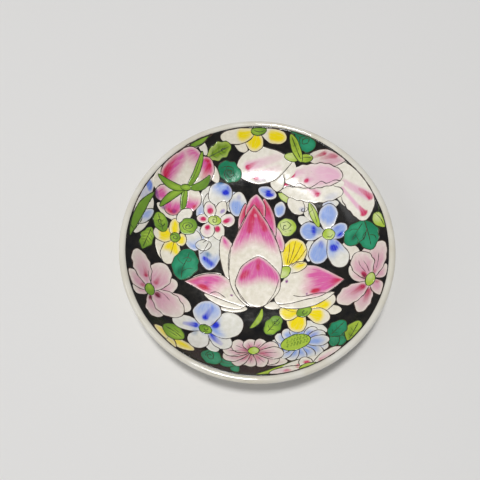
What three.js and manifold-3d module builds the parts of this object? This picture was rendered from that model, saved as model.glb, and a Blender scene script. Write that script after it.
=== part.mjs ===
// A shallow round porcelain ink dish: a thin thrown saucer on a foot ring, its inside covered with
// black enamel and crowded with flowers in raised opaque enamels, its rounded lip left bare.
// Millimetres, +Z up, origin at the centre of the plane that the foot ring stands on.

import * as THREE from "three";
import { mergeVertices } from "three/addons/utils/BufferGeometryUtils.js";
import Module from "manifold-3d";

const wasm = await Module();
wasm.setup();

// Driving dimensions of the porcelain.
const RIM_DIAMETER = 100;
const WALL_THICKNESS = 2.8; // also the width of the rounded lip
const WALL_SLOPE = THREE.MathUtils.degToRad(44); // of the straight wall, above the level
const BEND_RADIUS = 25; // of the inside, where the floor turns up into the wall
const HOLLOW_DEPTH = 12; // from the top of the lip to the middle of the floor
const FLOOR_RISE = 0.5; // from the middle of the floor to the start of the bend
const FLOOR_THICKNESS = 3;
const FOOT_DIAMETER = 54; // across the outside of the foot ring, at its base
const FOOT_WIDTH = 3; // of the foot ring, at its base
const FOOT_RECESS = 5; // from the resting plane up to the underside of the floor
const FOOT_DRAFT = 0.5; // how much each side of the foot ring leans, from base to root
const FOOT_EDGE = 0.6; // radius of the foot ring's softened edges

// Driving dimensions of the enamels, which lie over each other in layers.
const BARE_LIP = 2.3; // width of the unpainted band, in plan
const MOTIF_MARGIN = 0.4; // from the edge of the black ground in to the outermost motifs, in plan
const GROUND_THICKNESS = 0.2; // measured upright, as are the next two
const MOTIF_THICKNESS = 0.25;
const LAYER_GAP = 0.05; // between one layer and the next

// The motifs' places are drawn for a painted circle of this radius, and grow and shrink with it.
const DRAWN_RADIUS = 47.7;
const DRAWN_GAP = 0.3; // between neighbouring motifs

// How finely round shapes are cut into facets.
const TURN_FACETS = 48;
const BEND_STEPS = 3;
const LIP_STEPS = 3; // over the outer quarter of the lip
const EDGE_STEPS = 2;
const PETAL_STEPS = 6;
const SAME_POINT = 0.02; // profile points nearer to each other than this are one point

// Sizes that follow from the driving dimensions.
const rimRadius = RIM_DIAMETER / 2;
const paintedRadius = rimRadius - BARE_LIP;
const drawingScale = paintedRadius / DRAWN_RADIUS;
const motifGap = DRAWN_GAP * drawingScale;
const height = FOOT_RECESS + FLOOR_THICKNESS + HOLLOW_DEPTH;
const lipRadius = WALL_THICKNESS / 2;
const lip = new THREE.Vector2(rimRadius - lipRadius, height - lipRadius);
const acrossWall = new THREE.Vector2(-Math.sin(WALL_SLOPE), Math.cos(WALL_SLOPE));
const wallTop = lip.clone().addScaledVector(acrossWall, lipRadius);
const floorMiddle = FOOT_RECESS + FLOOR_THICKNESS;
const floorEdge = floorMiddle + FLOOR_RISE;
const bendCentre = new THREE.Vector2(0, floorEdge + BEND_RADIUS);
const bendTop = new THREE.Vector2(0, bendCentre.y - BEND_RADIUS * Math.cos(WALL_SLOPE));
bendTop.x = wallTop.x - (wallTop.y - bendTop.y) / Math.tan(WALL_SLOPE);
bendCentre.x = bendTop.x - BEND_RADIUS * Math.sin(WALL_SLOPE);

// Angles in the profile's plane count from outwards, anticlockwise, so up is 90 degrees.
const down = -Math.PI / 2;

// The point at an angle round a circle in the profile's plane.
function onCircle(centre, radius, angle) {
  const out = new THREE.Vector2(Math.cos(angle), Math.sin(angle));
  return centre.clone().addScaledVector(out, radius);
}

// Evenly spaced points along an arc, both ends included.
function arc(centre, radius, from, to, steps) {
  const angles = Array.from({ length: steps + 1 }, (_, k) => from + ((to - from) * k) / steps);
  return angles.map((angle) => onCircle(centre, radius, angle));
}

function withoutRepeats(points) {
  return points.filter((p, k) => k === 0 || p.distanceTo(points[k - 1]) > SAME_POINT);
}

// The inside of the dish from the middle of the floor out to a radius on the wall or the lip.
function insideProfile(limit) {
  const bend = arc(bendCentre, BEND_RADIUS, down, down + WALL_SLOPE, BEND_STEPS);
  const floorAndBend = [new THREE.Vector2(0, floorMiddle), ...bend];
  if (limit <= wallTop.x) {
    const share = (limit - bendTop.x) / (wallTop.x - bendTop.x);
    return [...floorAndBend, bendTop.clone().lerp(wallTop, share)];
  }
  return [...floorAndBend, wallTop, onCircle(lip, lipRadius, lipAngle(limit))];
}

// Where the lip's round meets a radius, on its inner side.
function lipAngle(radius) {
  return Math.acos((radius - lip.x) / lipRadius);
}

// The rounded lip, from the edge of the enamel or the top of the inside wall over to the outside wall.
function lipProfile() {
  const start = paintedRadius <= wallTop.x ? WALL_SLOPE - down : lipAngle(paintedRadius);
  return [
    ...arc(lip, lipRadius, start, -down, 1),
    ...arc(lip, lipRadius, -down, 0, LIP_STEPS),
    ...arc(lip, lipRadius, 0, down + WALL_SLOPE, 2),
  ];
}

// The outside wall down to the foot ring, the foot ring, and the underside of the floor.
function outsideProfile() {
  const outerBend = BEND_RADIUS + WALL_THICKNESS;
  const footOutside = FOOT_DIAMETER / 2;
  const footInside = footOutside - FOOT_WIDTH;
  const rootRadius = footOutside + FOOT_DRAFT;
  const rootAngle = Math.asin(Math.max(0, (rootRadius - bendCentre.x) / outerBend));
  const wall = arc(bendCentre, outerBend, down + WALL_SLOPE, down + rootAngle, BEND_STEPS);
  const root = new THREE.Vector2(rootRadius, wall[wall.length - 1].y);
  const outerEdge = new THREE.Vector2(footOutside - FOOT_EDGE, FOOT_EDGE);
  const innerEdge = new THREE.Vector2(footInside + FOOT_EDGE, FOOT_EDGE);
  return [
    ...wall,
    root,
    ...arc(outerEdge, FOOT_EDGE, 0, down, EDGE_STEPS),
    ...arc(innerEdge, FOOT_EDGE, down, down * 2, EDGE_STEPS),
    new THREE.Vector2(footInside - FOOT_DRAFT, FOOT_RECESS),
    new THREE.Vector2(0, FOOT_RECESS),
  ];
}

// A solid turned about +Z. The profile runs anticlockwise round the material, seen with +Z up.
function turned(profile) {
  const geometry = new THREE.LatheGeometry(profile, TURN_FACETS);
  return geometry.rotateX(Math.PI / 2);
}

// A layer that lies over the inside of the dish, lifted off the porcelain and ending at a radius.
function layer(lowest, thickness, limit) {
  const lift = (amount) => (p) => new THREE.Vector2(p.x, p.y + amount);
  const underside = insideProfile(limit).map(lift(lowest));
  const topside = insideProfile(limit).map(lift(lowest + thickness));
  return turned([...underside, ...topside.reverse()]);
}

// A closed geometry as a manifold-3d solid, and back.
function toSolid(geometry) {
  const bare = geometry.index ? geometry.toNonIndexed() : geometry.clone();
  bare.deleteAttribute("normal");
  bare.deleteAttribute("uv");
  const { attributes, index } = mergeVertices(bare, 1e-3);
  const vertProperties = new Float32Array(attributes.position.array);
  const triVerts = new Uint32Array(index.array);
  return new wasm.Manifold(new wasm.Mesh({ numProp: 3, vertProperties, triVerts }));
}

function toGeometry(solid) {
  const { numProp, numVert, vertProperties, triVerts } = solid.getMesh();
  const positions = new Float32Array(numVert * 3);
  for (let v = 0; v < numVert; v += 1) {
    positions.set(vertProperties.subarray(v * numProp, v * numProp + 3), v * 3);
  }
  const geometry = new THREE.BufferGeometry();
  geometry.setAttribute("position", new THREE.BufferAttribute(positions, 3));
  geometry.setIndex(new THREE.BufferAttribute(triVerts, 1));
  return geometry;
}

// One petal, leaf or disc in plan, from its root to its tip.
// bow: how far the middle of its spine stands to the left of the straight line, seen from the root.
// belly: where along the spine it is widest. ends: 0.5 is a round end and 1 a pointed one, root then tip.
function petal(rootX, rootY, tipX, tipY, width, { bow = 0, belly = 0.5, ends = [0.5, 0.5] } = {}) {
  const root = new THREE.Vector2(rootX, rootY).multiplyScalar(drawingScale);
  const tip = new THREE.Vector2(tipX, tipY).multiplyScalar(drawingScale);
  return { root, tip, width: width * drawingScale, bow: bow * drawingScale, belly, ends };
}

// The petal's outline with a margin all round, anticlockwise.
function petalOutline({ root, tip, width, bow, belly, ends }, margin) {
  const along = tip.clone().sub(root).normalize();
  const aside = new THREE.Vector2(-along.y, along.x);
  const start = root.clone().addScaledVector(along, -margin);
  const finish = tip.clone().addScaledVector(along, margin);
  const skew = Math.log(0.5) / Math.log(belly);
  const sideAt = (step, side) => {
    const t = (1 - Math.cos((Math.PI * step) / PETAL_STEPS)) / 2;
    const fullness = Math.sin(Math.PI * t ** skew) ** THREE.MathUtils.lerp(...ends, t);
    const offset = 4 * bow * t * (1 - t) + side * ((width / 2) * fullness + margin);
    return start.clone().lerp(finish, t).addScaledVector(aside, offset);
  };
  const steps = Array.from({ length: PETAL_STEPS - 1 }, (_, k) => k + 1);
  const right = steps.map((step) => sideAt(step, -1));
  const left = steps.map((step) => sideAt(step, 1)).reverse();
  return [start, ...right, finish, ...left];
}

// Upright prisms on the outlines of a motif's petals, joined.
function prisms(petals, margin) {
  const solids = petals.map((p) => {
    const shape = new THREE.Shape(petalOutline(p, margin));
    return toSolid(new THREE.ExtrudeGeometry(shape, { depth: height * 2, bevelEnabled: false }));
  });
  return solids.reduce((joined, solid) => joined.add(solid));
}

// Petals set round an oval disc: tips on one oval, roots on a smaller one.
function daisy(x, y, reach, rise, tilt, count, width) {
  return Array.from({ length: count }, (_, k) => {
    const angle = (2 * Math.PI * k) / count;
    const tip = new THREE.Vector2(reach * Math.cos(angle), rise * Math.sin(angle));
    tip.rotateAround(new THREE.Vector2(), tilt);
    const root = tip.clone().multiplyScalar(0.1);
    return petal(x + root.x, y + root.y, x + tip.x, y + tip.y, width, { belly: 0.65 });
  });
}

const POINTED = [0.5, 0.95];

const PINK = { color: 0xdd7fae, roughness: 0.22, metalness: 0 };
const WHITE = { color: 0xe4dfd0, roughness: 0.2, metalness: 0 };
const BLUE = { color: 0x8ea6e0, roughness: 0.2, metalness: 0 };
const YELLOW = { color: 0xf0d81a, roughness: 0.22, metalness: 0 };
const LEAF_GREEN = { color: 0x6f9530, roughness: 0.2, metalness: 0 };
const DARK_GREEN = { color: 0x1f7f55, roughness: 0.18, metalness: 0 };
const LIME = { color: 0xa9c83c, roughness: 0.2, metalness: 0 };

// Every motif, those that lie in front first: each one is cut back round the ones before it.
const MOTIFS = [
  ["lotus_front_petal", PINK, petal(0, -21, 0.8, -1.3, 16.4, { ends: [0.5, 0.72] })],
  ["lotus_tall_petal", PINK, petal(-0.5, -21, -0.8, 19.5, 19.4, { belly: 0.4, ends: [0.55, 0.9] })],
  [
    "lotus_back_petals",
    PINK,
    petal(-1, 8, 0.2, 23.8, 7.4, { belly: 0.55, ends: [0.5, 0.7] }),
    petal(-3, -2, -4.2, 20, 6.6, { ends: [0.5, 0.8] }),
    petal(3, -3, 3.2, 22.2, 8.4, { ends: [0.5, 0.8] }),
    petal(6.8, 10.5, 9.8, 0.5, 3.6),
  ],
  [
    "yellow_fan_bloom",
    YELLOW,
    petal(10.4, -7.2, 16.4, 5.2, 9, { belly: 0.62, ends: [0.6, 0.4] }),
    petal(11, -7, 18.8, -4.3, 3.6),
    petal(8.2, -9.6, 12.3, -5.6, 3.6),
  ],
  [
    "lotus_left_petals",
    PINK,
    petal(-4.5, -20, -12.8, 6.8, 7.2, { belly: 0.55, ends: [0.6, 0.6] }),
    petal(-4, -20.3, -26.8, -11.2, 8.3, { bow: -3, ends: POINTED }),
    petal(-5, -21, -19.6, -16, 4.4, { ends: [0.5, 0.8] }),
    petal(-3.6, -21.6, -13.4, -21.4, 2.6),
    petal(-24.4, -10.4, -13, -8.6, 2.8),
  ],
  [
    "lotus_right_petals",
    PINK,
    petal(6.5, -18.5, 32.3, -10.7, 12.6, { bow: 3.2, ends: POINTED }),
    petal(8, -20.5, 28.6, -15.5, 4.6, { bow: -0.5, ends: [0.5, 0.8] }),
    petal(2.6, -20.5, 9.5, -20.3, 2.6),
  ],
  [
    "plum_blossom_left",
    WHITE,
    petal(-18.5, 13.6, -13.2, 12.6, 3.4),
    petal(-17, 14, -18.6, 20.6, 4.4),
    petal(-17.6, 13.5, -22.8, 14, 3.6),
    petal(-17.4, 12.6, -19.4, 6.2, 5.2, { belly: 0.6 }),
    petal(-15.5, 12.6, -13.8, 5.2, 5),
    petal(-14.4, 12.9, -8.1, 13.2, 5.2, { belly: 0.6 }),
    petal(-15, 13.6, -12.2, 20.9, 4.2),
  ],
  ["dark_leaf_left", DARK_GREEN, petal(-28.3, -10.6, -25, 1.4, 9.4, { ends: [0.6, 0.5] })],
  ["green_bud_left", LEAF_GREEN, petal(-34.9, 7.6, -37.2, 14.8, 4.8)],
  [
    "green_rosette_left",
    LEAF_GREEN,
    petal(-28.4, 8, -23.4, 13, 6.2),
    petal(-30, 12.2, -24.8, 17.2, 4.4),
  ],
  [
    "yellow_bloom_left",
    YELLOW,
    petal(-32.4, 5.6, -29.2, 6, 3.8),
    petal(-31, 6, -30.9, 13.3, 3.8),
    petal(-31.4, 6, -38.6, 7.6, 6),
    petal(-30.4, 5.2, -26.4, 4.9, 4.8),
    petal(-31, 5, -33.4, -4.8, 6.9),
    petal(-37, 5.4, -33.6, -4, 3.8),
  ],
  [
    "blue_bloom_mid_left",
    BLUE,
    petal(-17, 7.5, -17.8, -6.8, 8.4),
    petal(-25, 9.3, -22.6, 0.8, 6),
    petal(-23, 3, -17, 3, 4),
    petal(-25.5, 10.6, -18.4, 3, 6),
  ],
  [
    "bud_sepals",
    LEAF_GREEN,
    petal(-29, 25.3, -25, 25.7, 2),
    petal(-26.6, 25.2, -37, 27.8, 2.4, { bow: 1.2 }),
    petal(-26.8, 25, -20.6, 38.6, 2, { bow: -0.8 }),
    petal(-26.4, 25.6, -17.8, 30.9, 2.8, { bow: -1.8 }),
    petal(-26.8, 25.6, -36.5, 17, 2.2, { bow: -0.7 }),
    petal(-27, 26, -28.4, 16, 2.2),
  ],
  ["bud_large_petal", PINK, petal(-35, 25.6, -21.6, 38.2, 11.4)],
  [
    "bud_side_petal",
    PINK,
    petal(-24.2, 25.6, -17.8, 36.9, 8.2),
    petal(-19, 36, -14.8, 28.4, 3.8),
  ],
  [
    "bud_lower_left_petal",
    PINK,
    petal(-31.8, 24.6, -37.8, 19.8, 5),
    petal(-36.2, 31, -37.4, 22.5, 3.6),
  ],
  [
    "bud_lower_middle_petal",
    PINK,
    petal(-29.3, 24.4, -33.2, 14.6, 7.2, { belly: 0.6, ends: [0.8, 0.5] }),
    petal(-37.4, 18, -29.8, 12.8, 3.4),
  ],
  ["bud_lower_right_petal", PINK, petal(-23.2, 25.4, -26.3, 16.4, 6.8)],
  [
    "blue_bloom_upper_left",
    BLUE,
    petal(-10.5, 27.5, -17.2, 20.2, 9),
    petal(-6.5, 24.8, -7.6, 14.6, 6.4),
    petal(-11, 24, -6, 22, 3),
    petal(-12, 25, -19.6, 17.2, 7.6),
    petal(-11, 26, -9.4, 16.4, 5),
    petal(-17, 22, -22.5, 14.5, 4.5),
    petal(-17.2, 26.8, -21.4, 20.4, 3.4),
  ],
  ["striped_leaf_left", LEAF_GREEN, petal(-39.3, 8.6, -42.2, -0.4, 4.2, { ends: [0.6, 0.8] })],
  [
    "rim_stem_left",
    LEAF_GREEN,
    petal(-46.2, 3.5, -38.4, 21.5, 2.6, { bow: 1.4, ends: [0.7, 0.7] }),
    petal(-44.3, 8.8, -38.7, 15.3, 3),
    petal(-39.2, 19.5, -44.8, 5, 4.2),
  ],
  ["rim_petal_left", WHITE, petal(-38.8, 26.8, -45.6, 12, 4.6)],
  [
    "rim_leaf_upper",
    WHITE,
    petal(-28.8, 38.6, -17.2, 45.3, 4.6, { ends: [0.7, 0.7] }),
    petal(-21.6, 42, -19.2, 37.6, 2.6),
  ],
  ["lime_leaf_upper", LIME, petal(-18.7, 37, -9.8, 41.7, 5)],
  [
    "yellow_bloom_top",
    YELLOW,
    petal(-1.9, 46.2, 4, 46.6, 2.4),
    petal(-0.4, 46, -13.8, 43.6, 5.2),
    petal(0.6, 46, -2, 40.2, 7),
    petal(2, 46, 11.8, 43.3, 4.8),
    petal(-8.4, 43.2, -3.4, 40.2, 3.2),
  ],
  [
    "grass_leaves_top",
    LIME,
    petal(17.6, 35.6, 13.2, 44.6, 2.8),
    petal(16.8, 36.8, 11, 38.2, 2.6),
    petal(16.4, 37, 21.8, 36.2, 2.4),
  ],
  [
    "dark_rosette_top",
    DARK_GREEN,
    petal(15.2, 44.4, 22.4, 39.4, 6),
    petal(13, 46.4, 22.8, 41.8, 3, { bow: 0.6 }),
  ],
  ["dark_rosette_upper", DARK_GREEN, petal(-14.5, 34.7, -5.9, 30.4, 7.4)],
  [
    "magnolia_bloom",
    WHITE,
    petal(14.4, 36.4, -7.3, 33.6, 13, { belly: 0.58, ends: [0.7, 0.4] }),
    petal(8.2, 24.9, 8.3, 33.6, 5.4),
    petal(3, 35, 15.5, 33.2, 9.5),
  ],
  ["peony_upper_petal", WHITE, petal(10.6, 30.4, 32.8, 28.4, 8.6, { bow: 0.8, ends: [0.4, 0.5] })],
  ["peony_top_petal", PINK, petal(19.8, 37, 34, 33.6, 5.2)],
  [
    "peony_lower_petal",
    WHITE,
    petal(9.6, 25.3, 33, 22.8, 7.4, { ends: [0.6, 0.45] }),
    petal(8.8, 32.8, 11.4, 24.6, 6.8),
    petal(14, 26.5, 33.4, 25.8, 5.4),
  ],
  [
    "peony_right_petal",
    WHITE,
    petal(29, 32.8, 41, 11, 11.4, { bow: 2.8, ends: [0.6, 0.5] }),
    petal(23.5, 33.6, 38, 25.4, 8.6),
    petal(31, 28, 36.6, 17, 6.4),
    petal(33, 32, 43.4, 16, 7, { bow: 1.6 }),
  ],
  ["blue_petal_upper", BLUE, petal(1, 26.2, 7.8, 22.6, 4.8)],
  ["pale_blue_petal", BLUE, petal(9.8, 20.7, 8.4, 14.2, 4.2)],
  [
    "white_petal_centre",
    WHITE,
    petal(13, 22.6, 17.6, 15.5, 5.8),
    petal(8.6, 24.2, 14.4, 20, 3, { ends: [0.7, 0.5] }),
  ],
  ["lime_bud_centre", LIME, petal(8, 10.2, 15.3, 10.3, 6.9)],
  [
    "dark_leaf_right",
    DARK_GREEN,
    petal(40, 10.9, 34, 2.4, 6.8, { ends: [0.7, 0.45] }),
    petal(40, 11, 42.2, -0.7, 6.6, { ends: [0.7, 0.55] }),
  ],
  [
    "lime_stem_right",
    LIME,
    petal(20.3, 20.2, 23.8, 10.2, 2.6, { ends: [0.7, 0.5] }),
    petal(18.6, 21.4, 22.4, 12.6, 5),
  ],
  [
    "blue_bloom_right",
    BLUE,
    petal(25, 6.8, 29.7, 7.8, 3.6),
    petal(26.6, 8, 28, 19.4, 6.8, { belly: 0.6 }),
    petal(26, 8, 16.4, 8.9, 7.2, { belly: 0.6 }),
    petal(26, 7, 21.6, -4.3, 7.2, { belly: 0.62 }),
    petal(27.6, 7, 32.1, -5.9, 7.4, { belly: 0.65 }),
    petal(28, 6, 33.9, 10.8, 5.4),
    petal(20.6, 5.2, 19.4, -3.4, 3.6),
    petal(20.4, 10.8, 16.2, 14.4, 3.2),
    petal(25.4, 18.8, 31.4, 19.2, 3),
  ],
  ["lime_bud_rim", LIME, petal(47, 6.6, 43.4, 12.6, 3.8)],
  [
    "pink_bloom_right",
    PINK,
    petal(40.2, -14.8, 41.5, -9.2, 3),
    petal(40.2, -12, 37.6, -0.6, 7.4, { belly: 0.6 }),
    petal(41.6, -12, 45.3, 1.8, 5.8, { belly: 0.6 }),
    petal(41.4, -12.4, 44.3, -19.3, 4),
    petal(40.6, -13, 29.2, -19.8, 6.6, { belly: 0.6 }),
    petal(40.8, -13.4, 35.8, -24.5, 4.8, { belly: 0.6 }),
    petal(37.6, -3.5, 32.6, 3.4, 5),
    petal(39.6, -6, 40.6, 0.6, 3.4),
    petal(40.4, -12.5, 34.6, -5.6, 5.6),
    petal(42.4, -11.6, 46.8, -8, 4.6),
  ],
  [
    "pink_bloom_left",
    PINK,
    petal(-38.1, -18, -39.4, -13.4, 3),
    petal(-39.2, -14.6, -44, -0.8, 5.6, { belly: 0.6 }),
    petal(-38, -16, -34.5, -4.7, 8.8, { belly: 0.55 }),
    petal(-39, -15.8, -46.4, -9.5, 5),
    petal(-38, -16, -27, -24.6, 8.4, { belly: 0.55 }),
    petal(-38.5, -16.4, -34.6, -26.4, 6, { belly: 0.6 }),
    petal(-37.5, -15.6, -29.4, -11.8, 6.4),
    petal(-34, -17, -24.2, -22.2, 6),
    petal(-38.6, -15.8, -44.4, -15.8, 4.8),
  ],
  [
    "blue_bloom_lower",
    BLUE,
    petal(-20.9, -28, -16.4, -30.5, 3),
    petal(-18.8, -29, -17.8, -18.6, 10, { belly: 0.6 }),
    petal(-18.6, -29.4, -30.4, -25.9, 5.4, { belly: 0.6 }),
    petal(-19, -29.4, -22.4, -36.8, 7.4, { belly: 0.6 }),
    petal(-18.2, -29.8, -9.4, -36, 6, { belly: 0.6 }),
    petal(-17.6, -29.4, -5, -26.8, 9.6, { belly: 0.55 }),
    petal(-19, -33, -13.8, -37.8, 3.8),
  ],
  [
    "yellow_bloom_lower",
    YELLOW,
    petal(14.4, -23.9, 19.8, -21.5, 3),
    petal(16, -23, 8, -23, 5.6, { belly: 0.6 }),
    petal(16.6, -22.8, 12.6, -30.1, 7, { belly: 0.6 }),
    petal(17.6, -23, 26.2, -25.6, 6, { belly: 0.6 }),
    petal(17.8, -22.6, 28.6, -17, 6, { belly: 0.6 }),
    petal(24.5, -22, 30.4, -22.6, 3.4),
  ],
  ["leaf_lower_centre", LEAF_GREEN, petal(3, -30.9, 8.6, -24.6, 5.4)],
  ["stem_lower_centre", LIME, petal(1.9, -21.6, -2.6, -28.8, 1.8, { bow: 1 })],
  ["blue_daisy_disc", LIME, petal(8.3, -36, 18.8, -32.8, 5.6)],
  [
    "plum_blossom_rim",
    WHITE,
    petal(13.9, -45.1, 20, -43.6, 2.6),
    petal(-0.8, -47, 14.6, -41.2, 1.6, { bow: -0.7 }),
    petal(17, -44.8, 3.6, -46.6, 3.4),
    petal(17, -44.8, 15.5, -40.5, 4.4),
    petal(18, -44.4, 29, -37.8, 4.8, { belly: 0.6 }),
    petal(8, -44.6, 27, -40.4, 3.8),
  ],
  [
    "pink_daisy",
    PINK,
    ...daisy(-1.8, -38.4, 11, 5.4, 0, 11, 4.6),
    petal(-11.8, -38.6, 8.4, -38.3, 9.6),
    petal(0, -41.4, 10.2, -41.8, 3.2),
  ],
  [
    "blue_daisy",
    BLUE,
    ...daisy(15, -34.9, 10.3, 6.8, 0.12, 15, 4),
    petal(5.6, -35.9, 24.4, -33.9, 11.6),
    petal(16.8, -26.8, 24.8, -30.6, 3.6),
  ],
  [
    "yellow_bloom_rim",
    YELLOW,
    petal(-31.4, -34.6, -36, -29.6, 3.2),
    petal(-32.2, -33.8, -28.6, -38.2, 3.2),
    petal(-32, -33.8, -22, -38.1, 3.2),
    petal(-26, -33.8, -33, -29, 5),
  ],
  [
    "dark_rosette_lower",
    DARK_GREEN,
    petal(-19.6, -38.8, -12.6, -42, 5.2),
    petal(-14, -41.6, -8, -43.2, 3),
    petal(-9.4, -42.4, -6.8, -46, 2.8),
  ],
  [
    "leaves_lower_right",
    DARK_GREEN,
    petal(25.4, -32.6, 31.2, -27.2, 5.2),
    petal(25.8, -37, 27.5, -31.6, 3.2),
    petal(31, -35.4, 35.6, -28, 4.8),
    petal(29, -32, 33, -31, 3),
    petal(28.8, -32.5, 28.6, -37, 3.4),
  ],
];

function node(name, geometry, finish) {
  const mesh = new THREE.Mesh(geometry, new THREE.MeshStandardMaterial(finish));
  mesh.name = name;
  return mesh;
}

function porcelainBody() {
  const profile = withoutRepeats([...insideProfile(paintedRadius), ...lipProfile(), ...outsideProfile()]);
  const finish = { color: 0xe6e2d6, roughness: 0.12, metalness: 0 };
  return node("porcelain_body", turned(profile.reverse()), finish);
}

function blackGround() {
  const finish = { color: 0x17150f, roughness: 0.14, metalness: 0 };
  return node("black_ground_enamel", layer(LAYER_GAP, GROUND_THICKNESS, paintedRadius), finish);
}

// The motifs are cut from one thin layer that lies over the black ground.
function motifs() {
  const lowest = 2 * LAYER_GAP + GROUND_THICKNESS;
  const sheet = toSolid(layer(lowest, MOTIF_THICKNESS, paintedRadius - MOTIF_MARGIN));
  let taken = null;
  return MOTIFS.map(([name, finish, ...petals]) => {
    const whole = prisms(petals, 0).intersect(sheet);
    const visible = taken ? whole.subtract(taken) : whole;
    const fence = prisms(petals, motifGap);
    taken = taken ? taken.add(fence) : fence;
    return node(name, toGeometry(visible), finish);
  });
}

const dish = new THREE.Group();
dish.add(porcelainBody(), blackGround(), ...motifs());

export default dish;
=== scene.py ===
"""Visual model of a round porcelain ink dish painted with flowers in raised enamels on a black ground."""

import logging
import math
import random
from collections.abc import Callable, Sequence
from dataclasses import dataclass
from enum import Enum

import bpy
import numpy as np
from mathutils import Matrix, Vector


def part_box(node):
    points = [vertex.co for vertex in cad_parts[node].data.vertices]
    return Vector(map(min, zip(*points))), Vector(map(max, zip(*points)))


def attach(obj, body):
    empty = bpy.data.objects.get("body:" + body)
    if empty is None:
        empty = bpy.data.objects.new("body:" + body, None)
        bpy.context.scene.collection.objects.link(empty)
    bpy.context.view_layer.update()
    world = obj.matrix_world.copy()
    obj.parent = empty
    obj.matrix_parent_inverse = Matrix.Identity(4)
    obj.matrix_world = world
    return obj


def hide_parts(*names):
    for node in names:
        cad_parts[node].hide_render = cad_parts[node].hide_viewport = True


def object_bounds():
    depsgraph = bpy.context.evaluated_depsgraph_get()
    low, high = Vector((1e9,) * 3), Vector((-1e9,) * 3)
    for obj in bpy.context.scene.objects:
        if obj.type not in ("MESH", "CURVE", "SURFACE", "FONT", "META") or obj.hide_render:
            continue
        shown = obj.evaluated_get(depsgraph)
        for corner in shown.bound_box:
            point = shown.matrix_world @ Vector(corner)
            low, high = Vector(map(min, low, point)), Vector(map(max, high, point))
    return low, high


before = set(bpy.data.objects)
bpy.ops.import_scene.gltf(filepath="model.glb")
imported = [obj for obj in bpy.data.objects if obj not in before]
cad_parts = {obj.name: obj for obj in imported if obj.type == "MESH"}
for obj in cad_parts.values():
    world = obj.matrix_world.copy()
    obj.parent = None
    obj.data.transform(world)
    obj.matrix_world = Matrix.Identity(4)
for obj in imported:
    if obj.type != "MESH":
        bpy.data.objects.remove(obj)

CAD_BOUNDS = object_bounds()
LOG = logging.getLogger("ink_dish")
MM = 0.001
ROOT_BODY = "root"

# Radius of the painted circle that the flowers' places are drawn for, in millimetres.
DRAWN_RADIUS = 47.7
# What would run past the first radius is drawn in towards the second and never reaches it.
CROWDED_RADIUS = 46.2
DRAWN_LIMIT = 47.4
# The enamel runs a little beyond each petal's drawn edge, so that neighbours meet.
PETAL_GROWTH = 0.16
# Widths of a brushed spiral and of a side vein, and the length of one wave in a ruffled edge, in millimetres.
CURL_WIDTH = 0.36
VEIN_WIDTH = 0.26
RUFFLE_LENGTH = 3.4
# Gap between the porcelain and the black ground in the CAD model, in millimetres.
LAYER_GAP = 0.05
# Depth reported for a point that lies well outside every petal.
FAR_OUTSIDE = -9.0
# Smallest length that is divided by.
TINY = 1e-9

Point = tuple[float, float]
Place = tuple[float, float, float]
Colour = tuple[float, float, float, float]
Tree = bpy.types.NodeTree
Socket = bpy.types.NodeSocket


def linear(code: str) -> Colour:
    """Turn an sRGB hex colour into linear values.

    Args:
        code: Six hex digits, red first.

    Returns:
        Linear red, green and blue, and an alpha of 1.
    """
    parts = [int(code[k : k + 2], 16) / 255 for k in (0, 2, 4)]
    red, green, blue = [p / 12.92 if p <= 0.04045 else ((p + 0.055) / 1.055) ** 2.4 for p in parts]
    return (red, green, blue, 1.0)


def smoothstep(start: float, end: float, value: np.ndarray) -> np.ndarray:
    """Rise smoothly from 0 at start to 1 at end; start may be the larger."""
    share = np.clip((value - start) / (end - start), 0, 1)
    return share * share * (3 - 2 * share)


def add_node(
    tree: Tree,
    kind: str,
    settings: dict | None = None,
    links: dict | None = None,
    stops: Sequence[tuple[float, Colour]] = (),
) -> bpy.types.Node:
    """Add a shader node.

    Args:
        tree: The node tree that gets the node.
        kind: Blender's type name of the node.
        settings: Properties of the node by name, and socket values by socket name or number.
        links: Output sockets to join to the node's inputs, by input name or number.
        stops: Places and colours of a colour ramp's two stops.

    Returns:
        The new node.
    """
    node = tree.nodes.new(kind)
    for name, value in (settings or {}).items():
        if isinstance(name, str) and hasattr(node, name):
            setattr(node, name, value)
        else:
            node.inputs[name].default_value = value
    for name, source in (links or {}).items():
        tree.links.new(source, node.inputs[name])
    for number, (position, colour) in enumerate(stops):
        node.color_ramp.elements[number].position = position
        node.color_ramp.elements[number].color = colour
    return node


def new_material(name: str) -> tuple[bpy.types.Material, Tree]:
    """Start a material.

    Args:
        name: Its name.

    Returns:
        The material and its empty node tree.
    """
    material = bpy.data.materials.new(name)
    material.use_nodes = True
    material.node_tree.nodes.clear()
    return material, material.node_tree


class Mark(Enum):
    """The painted layers over a petal's body colour, each stored as a value at every mesh point."""

    WASH = "wash"
    DEEP = "deep"
    ACCENT = "accent"


@dataclass(frozen=True)
class Pattern:
    """An uneven pattern in the surface; size is what one cloud or dimple measures, in millimetres."""

    size: float
    detail: float = 2.0
    roughness: float = 0.5

    def settings(self) -> dict[str, float]:
        """What the pattern's noise node is set to."""
        return {"Scale": 1 / (self.size * MM), "Detail": self.detail, "Roughness": self.roughness}


@dataclass(frozen=True)
class Relief:
    """Dimples, waves or grain in the surface; depth is in millimetres."""

    pattern: Pattern
    depth: float
    strength: float


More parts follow.
